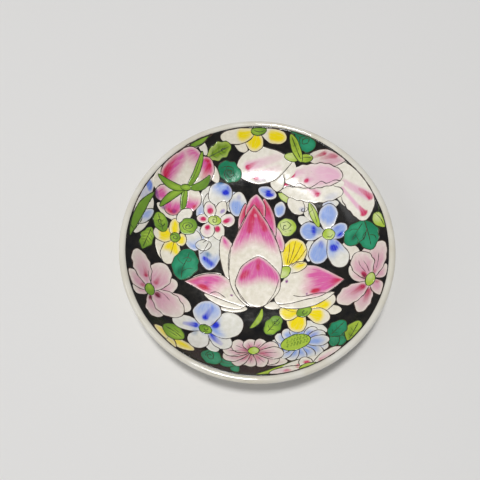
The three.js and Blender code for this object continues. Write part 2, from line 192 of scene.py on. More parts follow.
@dataclass(frozen=True)
class Specks:
    """Small dark specks of iron or ash left by the kiln. Pitch and size are in millimetres."""

    pitch: float
    size: float
    left_out: float
    strength: float
    colour: str
    core: float = 0.5

    def over(self, tree: Tree, under: Socket, place: Socket) -> Socket:
        """Sprinkle the specks over a colour.

        Args:
            tree: The node tree.
            under: The colour below.
            place: The place on the object.

        Returns:
            The specked colour.
        """
        cells = add_node(tree, "ShaderNodeTexVoronoi", {"Scale": 1 / (self.pitch * MM)}, {"Vector": place})
        reach = self.size / self.pitch
        ends = {"From Min": reach, "From Max": reach * self.core, "To Min": 0.0, "To Max": self.strength}
        near = add_node(tree, "ShaderNodeMapRange", ends, {"Value": cells.outputs["Distance"]})
        rule = {"operation": "GREATER_THAN", 1: self.left_out}
        chosen = add_node(tree, "ShaderNodeMath", rule, {0: cells.outputs["Color"]})
        both = {0: near.outputs["Result"], 1: chosen.outputs["Value"]}
        amount = add_node(tree, "ShaderNodeMath", {"operation": "MULTIPLY"}, both)
        paint = {"data_type": "RGBA", 7: linear(self.colour)}
        return add_node(tree, "ShaderNodeMix", paint, {0: amount.outputs["Value"], 6: under}).outputs[2]


@dataclass(frozen=True)
class Fired:
    """A fired surface: two colours in clouds, gloss that goes with the clouds, and a fine relief.

    The stops and the gloss span say between which values of the cloud pattern, which runs from about 0.3 to
    0.7, the colour and the roughness change. A roughness with two equal ends is the same all over.
    """

    name: str
    colours: tuple[Colour, Colour]
    stops: Point
    clouds: Pattern
    roughness: Point
    ior: float
    gloss_span: Point = (0.3, 0.7)
    relief: Relief | None = None
    specks: Specks | None = None
    coat: Point | None = None

    def make(self, paint: Callable[[Tree, Socket], Socket] | None = None) -> bpy.types.Material:
        """Build the material.

        Args:
            paint: Lays painted layers over the clouded colour, where there are any.

        Returns:
            The material.
        """
        material, tree = new_material(self.name)
        place = add_node(tree, "ShaderNodeTexCoord").outputs["Object"]
        noise = add_node(tree, "ShaderNodeTexNoise", self.clouds.settings(), {"Vector": place})
        clouds = noise.outputs["Fac"]
        ramp = add_node(tree, "ShaderNodeValToRGB", None, {"Fac": clouds}, [*zip(self.stops, self.colours)])
        colour = ramp.outputs["Color"]
        if paint:
            colour = paint(tree, colour)
        if self.specks:
            colour = self.specks.over(tree, colour, place)
        settings, links = {"IOR": self.ior}, {"Base Color": colour}
        if self.coat:
            settings.update({"Coat Weight": self.coat[0], "Coat Roughness": self.coat[1]})
        low, high = self.roughness
        if low == high:
            settings["Roughness"] = low
        else:
            start, end = self.gloss_span
            ends = {"From Min": start, "From Max": end, "To Min": low, "To Max": high}
            gloss = add_node(tree, "ShaderNodeMapRange", ends, {"Value": clouds})
            links["Roughness"] = gloss.outputs["Result"]
        if self.relief:
            height = add_node(tree, "ShaderNodeTexNoise", self.relief.pattern.settings(), {"Vector": place})
            size = {"Strength": self.relief.strength, "Distance": self.relief.depth * MM}
            bump = add_node(tree, "ShaderNodeBump", size, {"Height": height.outputs["Fac"]})
            links["Normal"] = bump.outputs["Normal"]
        shader = add_node(tree, "ShaderNodeBsdfPrincipled", settings, links)
        add_node(tree, "ShaderNodeOutputMaterial", None, {"Surface": shader.outputs["BSDF"]})
        return material


@dataclass(frozen=True)
class Enamel:
    """Overglaze enamel: lead glass paint laid on with a brush and fired to an opaque, softly glossy skin.

    A body colour lies under three painted layers, all sRGB hex. The brush leaves streaks in the layers,
    thicker paint clouds the body, and the fired skin is finely dimpled like orange peel.
    """

    name: str
    slot: str
    body: str
    wash: str
    deep: str
    accent: str
    roughness: float = 0.2
    specks: Specks | None = None

    # Length and width of a brush streak in millimetres. Real bristle marks are about 0.1 mm wide, too fine to
    # show, so they are drawn five times as broad.
    STREAK = (4.0, 0.5)
    # Orange peel is drawn at 0.7 mm, about twice as coarse as it is, so that it shows in the gloss.
    PEEL = Relief(Pattern(0.7), 0.04, 0.35)
    CLOUDS = Pattern(1.6)
    # How much darker thin paint and lighter thick paint is than the body colour, for red, green and blue.
    THIN = (0.93, 0.93, 0.9)
    THICK = (1.06, 1.06, 1.08)
    # How much smoother and rougher the gloss gets with the clouds.
    GLOSS = (-0.05, 0.09)
    # Share of each layer left between the streaks and in them.
    STREAKED = (0.78, 1.25)

    def make(self) -> bpy.types.Material:
        """Build the material.

        Returns:
            The material: the clouded body, three layers broken up by brush streaks, gloss and dimples.
        """
        body = linear(self.body)[:3]
        thin = (*(part * share for part, share in zip(body, self.THIN)), 1.0)
        thick = (*(min(1.0, part * share) for part, share in zip(body, self.THICK)), 1.0)
        roughness = (self.roughness + self.GLOSS[0], self.roughness + self.GLOSS[1])
        colours, stops = (thin, thick), (0.3, 0.7)
        surface = Fired(
            self.name, colours, stops, self.CLOUDS, roughness, 1.54, relief=self.PEEL, specks=self.specks
        )
        return surface.make(self._lay_paint)

    def _lay_paint(self, tree: Tree, colour: Socket) -> Socket:
        """Lay the three painted layers over a colour, thinned along the brush streaks.

        Args:
            tree: The node tree.
            colour: The colour below.

        Returns:
            The covered colour.
        """
        brush = add_node(tree, "ShaderNodeAttribute", {"attribute_name": "brush"}).outputs["Vector"]
        noise = {"Scale": 1.0, "Detail": 3.0, "Roughness": 0.6}
        streaks = add_node(tree, "ShaderNodeTexNoise", noise, {"Vector": brush}).outputs["Fac"]
        low, high = self.STREAKED
        ends = {"From Min": 0.3, "From Max": 0.7, "To Min": low, "To Max": high}
        times = {"operation": "MULTIPLY", "use_clamp": True}
        for mark, paint in zip(Mark, (self.wash, self.deep, self.accent)):
            stored = add_node(tree, "ShaderNodeAttribute", {"attribute_name": mark.value}).outputs["Fac"]
            thinning = add_node(tree, "ShaderNodeMapRange", ends, {"Value": streaks}).outputs["Result"]
            amount = add_node(tree, "ShaderNodeMath", times, {0: stored, 1: thinning}).outputs["Value"]
            laid = {"data_type": "RGBA", 7: linear(paint)}
            colour = add_node(tree, "ShaderNodeMix", laid, {0: amount, 6: colour}).outputs[2]
        return colour


# Small dark specks of kiln ash in the pale enamels, one in three of the places 3.2 mm apart.
ASH = Specks(3.2, 0.13, 0.62, 0.8, "4A3B2E")

# Gold rose over opaque white, crimson where it is laid on thick: the lotus and the bud.
ROSE = Enamel("rose_enamel", "pink_enamel", "F6EEDC", "E262A6", "CE1440", "8E3F8C", 0.2, ASH)
# The same rose, thinner over a greyer white: the flowers at the sides.
DUSTY_ROSE = Enamel("dusty_rose_enamel", "pink_enamel", "F0E7D8", "E0AAB9", "BC2A52", "7C1F3A", 0.2, ASH)
# Arsenic white with a breath of rose, crimson in the marks and pale blue as accent.
IVORY = Enamel("ivory_enamel", "white_enamel", "F6F0E0", "EFB9CF", "D4185C", "6F8CDE", 0.18, ASH)
# Cobalt blue over white, from periwinkle to deep cobalt, and teal where it pools.
BLUE = Enamel("cobalt_enamel", "blue_enamel", "EEEBDF", "98B1E8", "1A2FD0", "1E6FA8", 0.17, ASH)
# Antimony yellow over white, with ochre where it is thick.
YELLOW = Enamel("yellow_enamel", "yellow_enamel", "F6EED9", "FFE600", "D29A0A", "A9C53A", 0.2)
# Copper greens, glassier than the whites: leaf green, dark green and lime.
LEAF = Enamel("leaf_green_enamel", "leaf_green_enamel", "76A032", "AFD24A", "3F641C", "2E7F4A", 0.16)
DARK_LEAF = Enamel("dark_green_enamel", "dark_green_enamel", "1B8159", "33A074", "074B33", "0A3F34", 0.15)
LIME = Enamel("lime_enamel", "lime_enamel", "B4CF48", "DDE7A0", "7E9E26", "5A7D2A", 0.18)


def line_paint(name: str, dark: str, light: str) -> Fired:
    """Iron and manganese colour drawn with a fine brush: dull, and thinner and thicker along the stroke."""
    return Fired(name, (linear(dark), linear(light)), (0.38, 0.68), Pattern(1.8), (0.38, 0.38), 1.5)


# Brown-black round the flowers, olive on the greens and ochre on the yellow fan.
OUTLINE = line_paint("brown_black_line", "231712", "4C3428")
OLIVE = line_paint("olive_line", "1F2C10", "3C4F1C")
OCHRE = line_paint("ochre_line", "6A4A14", "94701E")

# Black ground enamel, brushed on in short strokes and fired: glossy near-black, brown and duller where thin.
BLACK_ENAMEL = Fired(
    "black_ground_enamel_fired", (linear("0B0A09"), linear("25211A")), (0.35, 0.72), Pattern(3.4, 4.0, 0.65),
    (0.11, 0.19), 1.54, (0.35, 0.65), Relief(Pattern(0.55, 3.0, 0.6), 0.03, 0.4),
)
# Porcelain under a clear dipped glaze: warm white, wet gloss with slow waves, and a rare brown iron speck.
GLAZE = Fired(
    "porcelain_clear_glazed", (linear("DDD6C3"), linear("EAE6DA")), (0.3, 0.7), Pattern(9.0, 3.0),
    (0.07, 0.14), 1.52, relief=Relief(Pattern(5.0, 1.0), 0.12, 0.25),
    specks=Specks(4.5, 0.16, 0.7, 0.7, "6B5137", 0.4), coat=(0.4, 0.04),
)
# Bare porcelain on the foot ring, wiped clean of glaze: matt, greyish where soiled. Its grain is a tenth of a
# millimetre, too fine to show, and is drawn three times as coarse.
BISCUIT = Fired(
    "porcelain_bare_biscuit", (linear("A89C86"), linear("D9D0BD")), (0.3, 0.62), Pattern(2.5, 5.0, 0.7),
    (0.78, 0.78), 1.5, relief=Relief(Pattern(0.35, 4.0), 0.06, 0.7),
)


@dataclass(frozen=True)
class DishForm:
    """The turned form of the dish's inside and outside. Lengths in millimetres.

    The straight inside wall meets the rounded lip above and a round bend below, and the floor rises a little
    from its middle to the bend. The foot draft is how far the ring's sides lean in from its root to its face.
    """

    rim_radius: float
    height: float
    painted_radius: float
    floor_middle: float
    wall: float = 2.8
    slope: float = math.radians(44)
    bend_radius: float = 25.0
    floor_rise: float = 0.5
    foot_radius: float = 27.0
    foot_width: float = 3.0
    foot_recess: float = 5.0
    foot_draft: float = 0.5
    foot_edge: float = 0.6

    @property
    def lip_radius(self) -> float:
        """Radius of the rounded lip's section."""
        return self.wall / 2

    @property
    def lip(self) -> Point:
        """Centre of the rounded lip's section."""
        return (self.rim_radius - self.lip_radius, self.height - self.lip_radius)

    @property
    def wall_top(self) -> Point:
        """Where the straight inside wall meets the lip."""
        x, z = self.lip
        return (x - self.lip_radius * math.sin(self.slope), z + self.lip_radius * math.cos(self.slope))

    @property
    def bend_top(self) -> Point:
        """Where the bend meets the straight inside wall."""
        z = self.floor_middle + self.floor_rise + self.bend_radius * (1 - math.cos(self.slope))
        return (self.wall_top[0] - (self.wall_top[1] - z) / math.tan(self.slope), z)

    @property
    def bend_centre(self) -> Point:
        """Centre of the bend's arc."""
        x = self.bend_top[0] - self.bend_radius * math.sin(self.slope)
        return (x, self.floor_middle + self.floor_rise + self.bend_radius)

    def inside(self, radius: np.ndarray) -> np.ndarray:
        """Height of the porcelain's inside.

        Args:
            radius: Distances from the axis.

        Returns:
            The heights above the resting plane.
        """
        radius = np.asarray(radius, float)
        bend_x, bend_z = self.bend_centre
        floor = self.floor_middle + self.floor_rise * smoothstep(0.0, bend_x, radius)
        over = np.clip(radius - bend_x, 0, self.bend_radius * 0.999)
        bend = bend_z - np.sqrt(self.bend_radius**2 - over**2)
        wall = self.bend_top[1] + (radius - self.bend_top[0]) * math.tan(self.slope)
        reach = np.clip(radius - self.lip[0], -self.lip_radius, self.lip_radius)
        lip = self.lip[1] + np.sqrt(np.maximum(self.lip_radius**2 - reach**2, 0))
        places = [radius <= bend_x, radius <= self.bend_top[0], radius <= self.wall_top[0]]
        return np.select(places, [floor, bend, wall], lip)

    def on_inside(self, plan: np.ndarray, lift: np.ndarray) -> np.ndarray:
        """Raise plan points onto the inside.

        Args:
            plan: Points in plan, one per row.
            lift: How far each stands over the porcelain.

        Returns:
            The points in space, one per row.
        """
        return np.column_stack([plan, self.inside(np.hypot(plan[:, 0], plan[:, 1])) + lift])


def signed_depth(outline: np.ndarray, points: np.ndarray) -> np.ndarray:
    """Distance of points from a closed outline.

    Args:
        outline: The outline's corners, one per row.
        points: The points, one per row.

    Returns:
        One distance per point, positive inside.
    """
    after = np.roll(outline, -1, axis=0)
    edge = after - outline
    away = points[:, None, :] - outline[None, :, :]
    share = np.clip((away * edge).sum(2) / np.maximum((edge * edge).sum(1), 1e-12), 0, 1)
    distance = np.sqrt((((away - share[..., None] * edge) ** 2).sum(2)).min(1))
    level = points[:, 1:2]
    crosses = (outline[None, :, 1] > level) != (after[None, :, 1] > level)
    rise = np.where(np.abs(edge[:, 1]) < 1e-12, 1e-12, edge[:, 1])
    at = outline[None, :, 0] + (level - outline[None, :, 1]) / rise * edge[None, :, 0]
    inside = (crosses & (points[:, 0:1] < at)).sum(1) % 2 == 1
    return np.where(inside, distance, -distance)


def through(points: Sequence[Point], pitch: float) -> np.ndarray:
    """Points at about a pitch along a smooth curve.

    Args:
        points: The points that the curve passes through.
        pitch: The distance between the points made.

    Returns:
        The points, one per row.
    """
    given = np.array(points, float)
    if len(given) == 2:
        steps = max(2, math.ceil(float(np.linalg.norm(given[1] - given[0])) / pitch))
        return given[0] + (given[1] - given[0]) * np.linspace(0, 1, steps + 1)[:, None]
    padded = np.vstack([2 * given[0] - given[1], given, 2 * given[-1] - given[-2]])
    pieces = []
    for k in range(1, len(padded) - 2):
        a, b, c, d = padded[k - 1 : k + 3]
        steps = max(2, math.ceil(float(np.linalg.norm(c - b)) / pitch))
        t = np.linspace(0, 1, steps, endpoint=False)[:, None]
        squared, cubed = 2 * a - 5 * b + 4 * c - d, 3 * b - a - 3 * c + d
        pieces.append(0.5 * (2 * b + (c - a) * t + squared * t**2 + cubed * t**3))
    return np.vstack([*pieces, given[-1:]])


def drawn_in(plan: np.ndarray) -> np.ndarray:
    """Draw points near the lip in, so that nothing painted runs onto the bare lip.

    Args:
        plan: Points in plan, one per row.

    Returns:
        The same points, none of them past the drawn limit.
    """
    reach = np.linalg.norm(plan, axis=1)
    room = DRAWN_LIMIT - CROWDED_RADIUS
    held = CROWDED_RADIUS + room * (1 - np.exp(-np.maximum(reach - CROWDED_RADIUS, 0) / room))
    return plan * np.where(reach > CROWDED_RADIUS, held / np.maximum(reach, TINY), 1.0)[:, None]


def along_spine(steps: int) -> np.ndarray:
    """Places from 0 to 1 along a spine, closer together towards its ends."""
    return (1 - np.cos(np.linspace(0, math.pi, steps + 1))) / 2


@dataclass(frozen=True)
class Petal:
    """One petal, leaf or disc in plan, from its root to its tip. Lengths in millimetres of the drawing.

    The bow is how far the spine bends to the left, the belly is where along it the petal is widest, and the
    ends say how pointed the root and the tip are: half is round and one is sharp. Wash and deep say between
    which places along the spine that layer rises from none to full. The crown multiplies the relief.
    """

    root: Point
    tip: Point
    width: float
    bow: float = 0.0
    belly: float = 0.5
    ends: Point = (0.5, 0.5)
    wash: Point | None = None
    deep: Point | None = None
    paint: Enamel | None = None
    line: Fired | None = None
    outlined: bool = True
    ruffle: float = 0.0
    crown: float = 1.0

    @property
    def length(self) -> float:
        """Straight length from root to tip."""
        return math.dist(self.root, self.tip)

    @property
    def seed(self) -> float:
        """A number that is this petal's own, for its unevenness."""
        return random.Random(f"{self.root}{self.tip}").random() * math.tau

    def halves(self, t: np.ndarray, side: float) -> np.ndarray:
        """Half widths along the spine on one side.

        Args:
            t: Places along the spine, 0 at the root and 1 at the tip.
            side: 1 for the left and -1 for the right.

        Returns:
            The distances from the spine to the edge.
        """
        skew = math.log(0.5) / math.log(self.belly)
        power = self.ends[0] + (self.ends[1] - self.ends[0]) * t
        fullness = np.clip(np.sin(math.pi * np.clip(t, 0, 1) ** skew), 0, 1) ** power
        phase = self.seed + side
        wobble = 0.03 * np.sin(7.5 * t + phase) + 0.02 * np.sin(17 * t + 2 * phase)
        waves = self.ruffle * np.sin(math.tau * self.length / RUFFLE_LENGTH * t + phase) * fullness
        return (self.width / 2 + PETAL_GROWTH) * fullness * (1 + wobble) + waves

    def points(self, t: np.ndarray, across: np.ndarray) -> np.ndarray:
        """Plan points at places along and across the petal.

        Args:
            t: Places along the spine, 0 to 1.
            across: Places across, -1 at the right edge and 1 at the left.

        Returns:
            The points, one per row.
        """
        root, tip = np.array(self.root), np.array(self.tip)
        along = (tip - root) / self.length
        aside = np.array([-along[1], along[0]])
        half = np.where(across > 0, self.halves(t, 1), self.halves(t, -1))
        offset = 4 * self.bow * t * (1 - t) + across * half
        return drawn_in(root + (tip - root) * t[:, None] + aside * offset[:, None])

    def outline(self, pitch: float) -> np.ndarray:
        """The edge as a closed run of points, anticlockwise.

        Args:
            pitch: About how far apart the points are.

        Returns:
            The points, one per row.
        """
        count = max(8, math.ceil((self.length + self.width / 2) / pitch))
        t = along_spine(count)
        right = self.points(t, np.full(count + 1, -1.0))
        left = self.points(t, np.full(count + 1, 1.0))
        return np.vstack([right, left[::-1][1:-1]])


@dataclass(frozen=True)
class Stroke:
    """A dab or a tailed stroke of the loaded brush in one layer. Lengths in millimetres of the drawing.

    Across and turn make an oval of a round dab: its other radius, and the angle of its first one in degrees.
    Fade is how much strength is left at the tail's end. A negative strength takes paint away.
    """

    mark: Mark
    head: Point
    radius: float
    tail: Point | None = None
    across: float | None = None
    turn: float = 0.0
    tail_radius: float = 0.25
    fade: float = 0.35
    strength: float = 1.0
    soft: float = 0.3

    def cover(self, plan: np.ndarray) -> np.ndarray:
        """How much paint this stroke leaves at each point.

        Args:
            plan: Points in plan, one per row.

        Returns:
            Values from 0 to 1.
        """
        away = plan - np.array(self.head)
        if self.tail is None:
            c, s = math.cos(math.radians(self.turn)), math.sin(math.radians(self.turn))
            turned = away @ np.array([[c, -s], [s, c]])
            reach = np.hypot(turned[:, 0] / self.radius, turned[:, 1] / (self.across or self.radius))
            return self.strength * smoothstep(1 + self.soft, 1 - self.soft, reach)
        run = np.array(self.tail) - np.array(self.head)
        share = np.clip((away @ run) / (run @ run), 0, 1)
        distance = np.linalg.norm(away - share[:, None] * run, axis=1)
        radius = self.radius + (self.tail_radius - self.radius) * share**0.6
        strength = self.strength * (1 + (self.fade - 1) * share**0.7)
        return strength * smoothstep(1 + self.soft, 1 - self.soft, distance / radius)


@dataclass(frozen=True)
class Line:
    """A brushed line through some points in plan."""

    points: tuple[Point, ...]
    width: float = 0.34
    paint: Fired | None = None


@dataclass(frozen=True)
class Motif:
    """A flower, leaf or bud: one deposit of enamel, its petals listed front first."""

    node: str
    paint: Enamel
    petals: tuple[Petal, ...]
    strokes: tuple[Stroke, ...] = ()
    lines: tuple[Line, ...] = ()
    line: Fired = OUTLINE


def petals(*places: tuple[float, ...], **more: object) -> tuple[Petal, ...]:
    """Petals from their root, tip and width, with what else they have in common."""
    return tuple(Petal((x0, y0), (x1, y1), width, **more) for x0, y0, x1, y1, width in places)


def fills(*places: tuple[float, ...], **more: object) -> tuple[Petal, ...]:
    """Patches of enamel without an outline, between and behind the drawn petals."""
    return petals(*places, outlined=False, **more)


def dabs(mark: Mark, *places: tuple[float, ...], **more: object) -> tuple[Stroke, ...]:
    """Round or oval dabs of one layer.

    Args:
        mark: The layer.
        places: Each dab's centre and radius, and for an oval one its other radius and its turn.
        more: What else the strokes have in common.

    Returns:
        The strokes.
    """
    return tuple(Stroke(mark, (x, y), radius, None, *oval, **more) for x, y, radius, *oval in places)


def comets(mark: Mark, *places: tuple[float, ...], **more: object) -> tuple[Stroke, ...]:
    """Dabs of one layer with a tail that thins out.

    Args:
        mark: The layer.
        places: Each one's centre, its radius and the point that its tail ends at.
        more: What else the strokes have in common.

    Returns:
        The strokes.
    """
    return tuple(Stroke(mark, (x, y), radius, tuple(tail), **more) for x, y, radius, *tail in places)


def brushed(*paths: tuple[float, ...], width: float = 0.34, paint: Fired | None = None) -> tuple[Line, ...]:
    """Brushed lines of one width.

    Args:
        paths: Each line's points as x, y, x, y and so on.
        width: Their width.
        paint: Their paint, if it isn't the motif's.

    Returns:
        The lines.
    """
    return tuple(Line(tuple(zip(path[0::2], path[1::2])), width, paint) for path in paths)


def curl(
    x: float, y: float, radius: float, turns: float = 1.4, start: float = 0, paint: Fired | None = None
) -> Line:
    """A brushed spiral, as in the heart of a rosette, a little irregular as a hand draws it.

    Args:
        x: Place of its middle, across.
        y: Place of its middle, up.
        radius: Its outer radius.
        turns: How many times it goes round.
        start: The angle that it starts at, in degrees.
        paint: Its paint, if it isn't the motif's.

    Returns:
        The line.
    """
    steps = 5 + int(8 * turns)
    points = []
    for k in range(steps + 1):
        angle = math.radians(start) + math.tau * turns * k / steps
        uneven = 1 + 0.16 * math.sin(2.3 * angle + x) + 0.1 * math.cos(5.1 * angle + y)
        reach = radius * (0.25 + 0.75 * k / steps) * uneven
        points.append((x + reach * math.cos(angle), y + reach * math.sin(angle)))
    return Line(tuple(points), CURL_WIDTH, paint)


def veins(
    x0: float, y0: float, x1: float, y1: float, reach: float, pairs: int, paint: Fired | None = None
) -> tuple[Line, ...]:
    """A leaf's midrib with pairs of side veins that lean towards the tip.

    Args:
        x0: The leaf's root, across.
        y0: The leaf's root, up.
        x1: Its tip, across.
        y1: Its tip, up.
        reach: How far the longest side veins stand out.
        pairs: How many pairs of side veins it has.
        paint: Their paint, if it isn't the motif's.

    Returns:
        The lines.
    """
    run = np.array([x1 - x0, y1 - y0])
    along = run / np.linalg.norm(run)
    aside = np.array([-along[1], along[0]])
    made = [*brushed((x0, y0, x1, y1), paint=paint)]
    for k in range(pairs):
        share = (k + 0.6) / (pairs + 0.4)
        start = np.array([x0, y0]) + run * share
        length = reach * math.sin(math.pi * min(0.95, share + 0.12))
        for side in (-1, 1):
            end = start + aside * side * length + along * length * 0.7
            made.extend(brushed((*start, *end), width=VEIN_WIDTH, paint=paint))
    return tuple(made)


def daisy(
    x: float, y: float, reach: float, rise: float, tilt: float, count: int, width: float, **more: object
) -> tuple[Petal, ...]:
    """Petals set round an oval disc: tips on one oval, roots on a smaller one.

    Args:
        x: Place of the middle, across.
        y: Place of the middle, up.
        reach: The oval's first radius.
        rise: Its other radius.
        tilt: The angle of its first radius, in radians.
        count: How many petals.
        width: Their width.
        more: What else they have in common.

    Returns:
        The petals.
    """
    made = []
    for k in range(count):
        angle = math.tau * k / count
        a, b = reach * math.cos(angle), rise * math.sin(angle)
        tip = (a * math.cos(tilt) - b * math.sin(tilt), a * math.sin(tilt) + b * math.cos(tilt))
        made.append((x + tip[0] * 0.1, y + tip[1] * 0.1, x + tip[0], y + tip[1], width))
    return petals(*made, belly=0.65, **more)


def motif(node: str, paint: Enamel, *runs: tuple | Line, line: Fired = OUTLINE) -> Motif:
    """A motif from runs of petals, strokes and lines.

    Args:
        node: The CAD node that it stands for.
        paint: Its enamel.
        runs: The runs, petals front first.
        line: The paint of its outlines and lines.

    Returns:
        The motif.
    """
    parts = [part for run in runs for part in (run if isinstance(run, tuple) else (run,))]
    sorted_parts = (tuple(part for part in parts if isinstance(part, kind)) for kind in (Petal, Stroke, Line))
    return Motif(node, paint, *sorted_parts, line)


WASH, DEEP, ACCENT = Mark.WASH, Mark.DEEP, Mark.ACCENT
# Ends of a petal with a round root and a pointed tip.
POINTED = (0.5, 0.95)

# The motifs are listed front first, and so are the petals in each. Lengths are millimetres of the drawing,
# with the dish's axis at 0, 0. A petal is its root, its tip and its width.

LOTUS = (
    motif(
        "lotus_front_petal", ROSE,
        petals((0, -21, 0.8, -1.3, 16.4), ends=(0.5, 0.72), wash=(0.36, 0.62), crown=1.4),
        dabs(DEEP, (0.5, -5.5, 0.7, 1.5), strength=0.8, soft=0.5),
        dabs(DEEP, (-4.5, -8.5, 2.1, 1.2, 45), strength=0.75, soft=0.5),
        dabs(DEEP, (0.7, -3.4, 1.0, 1.6), strength=0.5, soft=0.6),
    ),
    motif(
        "lotus_tall_petal", ROSE,
        petals(
            (-0.5, -21, -0.8, 19.5, 19.4), belly=0.4, ends=(0.55, 0.9), wash=(0.5, 0.72), deep=(0.66, 1.12),
            crown=1.5,
        ),
        comets(DEEP, (-0.8, 18.5, 1.6, -2.6, 9.0), tail_radius=1.2, fade=0.7, soft=0.5),
        comets(DEEP, (0.4, 17.5, 1.4, 3.2, 9.6), tail_radius=1.2, fade=0.75, soft=0.5),
        comets(DEEP, (4.4, 15.5, 1.1, 5.8, 9.5), tail_radius=0.5, fade=0.4, soft=0.5),
        comets(DEEP, (-5.0, 13.5, 0.8, -6.6, 8.0), tail_radius=0.4, fade=0.3, soft=0.5),
        # Painted highlight: a small pale spot where the deep crimson and the rose wash are taken away,
        # standing in for the lamp's glint on the raised petal.
        dabs(DEEP, (-0.3, 15.0, 0.6, 0.7), soft=0.5, strength=-0.6),
        dabs(WASH, (-0.3, 15.0, 0.6, 0.7), soft=0.5, strength=-0.4),
        brushed((-3.3, 15.8, -5.0, 12.0, -6.5, 9, -8.4, 5, -9.3, 2.3)),
        brushed(
            (0.8, 18, 2.2, 15.2, 3.8, 13, 4.3, 12, 6.2, 7.5, 8.7, 2), (-9.6, 1.4, -10.1, -2.6, -10.2, -7),
            (-2.6, -20.6, -5.6, -17.0, -8.2, -12.4), (3.0, -20.4, 6.4, -15.6, 8.3, -10.2), width=0.3,
        ),
    ),
    motif(
        "lotus_back_petals", ROSE,
        petals((-1, 8, 0.2, 23.8, 7.4), belly=0.55, ends=(0.5, 0.7), wash=(0.0, 0.3), deep=(0.95, 0.45)),
        petals((3, -3, 3.2, 22.2, 8.4), ends=(0.5, 0.8), wash=(0.1, 0.5), deep=(0.45, 0.95)),
        petals((-3, -2, -4.2, 20, 6.6), ends=(0.5, 0.8), wash=(0.1, 0.5), deep=(0.55, 0.9)),
        petals((6.8, 10.5, 9.8, 0.5, 3.6), wash=(-1.0, 1.5)),
    ),
    motif(
        "yellow_fan_bloom", YELLOW,
        petals((8.2, -9.6, 12.3, -5.6, 3.6), paint=LIME, line=OLIVE, wash=(0.9, 0.3)),
        petals((11, -7, 18.8, -4.3, 3.6), wash=(0.2, 0.7)),
        petals((10.4, -7.2, 16.4, 5.2, 9), belly=0.62, ends=(0.6, 0.4), wash=(-0.5, 0.05)),
        brushed(
            (11.3, -4.6, 12.2, 0, 12.6, 4.2), (11.9, -4.6, 13.6, 0, 14.8, 4.6),
            (12.4, -4.8, 15.0, -0.6, 17.2, 3.6), (12.8, -5.2, 16.2, -2.0, 18.8, 1.6), paint=OCHRE,
        ),
        brushed((13.0, -5.7, 15.2, -3.9, 16.6, -4.4, 18.4, -3.4), width=0.28, paint=OCHRE),
    ),
    motif(
        "lotus_left_petals", ROSE,
        petals(
            (-4, -20.3, -26.8, -11.2, 8.3), bow=-3, ends=POINTED, wash=(0.3, 0.68), deep=(0.72, 1.0),
            crown=1.3,
        ),
        petals((-5, -21, -19.6, -16, 4.4), ends=(0.5, 0.8)),
        petals((-4.5, -20, -12.8, 6.8, 7.2), belly=0.55, ends=(0.6, 0.6), wash=(0.78, 0.98)),
        fills((-3.6, -21.6, -13.4, -21.4, 2.6), (-24.4, -10.4, -13, -8.6, 2.8)),
        dabs(DEEP, (-20, -13.5, 2.3, 1.1, 160), soft=0.5), dabs(ACCENT, (-9.3, -16.5, 0.4), soft=0.3),
        dabs(ACCENT, (-18.8, -11.6, 0.7, 0.5), soft=0.5, strength=0.4),
        brushed((-17.5, -16, -16.0, -15.3, -14.3, -15.5, -11.5, -17.5), width=0.4),
    ),
    motif(
        "lotus_right_petals", ROSE,
        petals(
            (6.5, -18.5, 32.3, -10.7, 12.6), bow=3.2, ends=POINTED, wash=(0.35, 0.72), deep=(0.78, 1.0),
            crown=1.3,
        ),
        petals((8, -20.5, 28.6, -15.5, 4.6), bow=-0.5, ends=(0.5, 0.8)),
        fills((2.6, -20.5, 9.5, -20.3, 2.6)), dabs(DEEP, (21.5, -14.8, 1.8, 0.9, 15), soft=0.5),
        dabs(WASH, (21.5, -8.6, 3.4, 1.4, 10), soft=0.6), dabs(ACCENT, (11, -11.2, 0.55), soft=0.4),
        dabs(ACCENT, (8.5, -6.3, 0.9), soft=0.4, strength=0.8), dabs(ACCENT, (18.3, -16, 0.3), soft=0.3),
        brushed((13.2, -16.6, 16.8, -17.0, 22.0, -15.8, 27.2, -15.6), width=0.4),
    ),
)

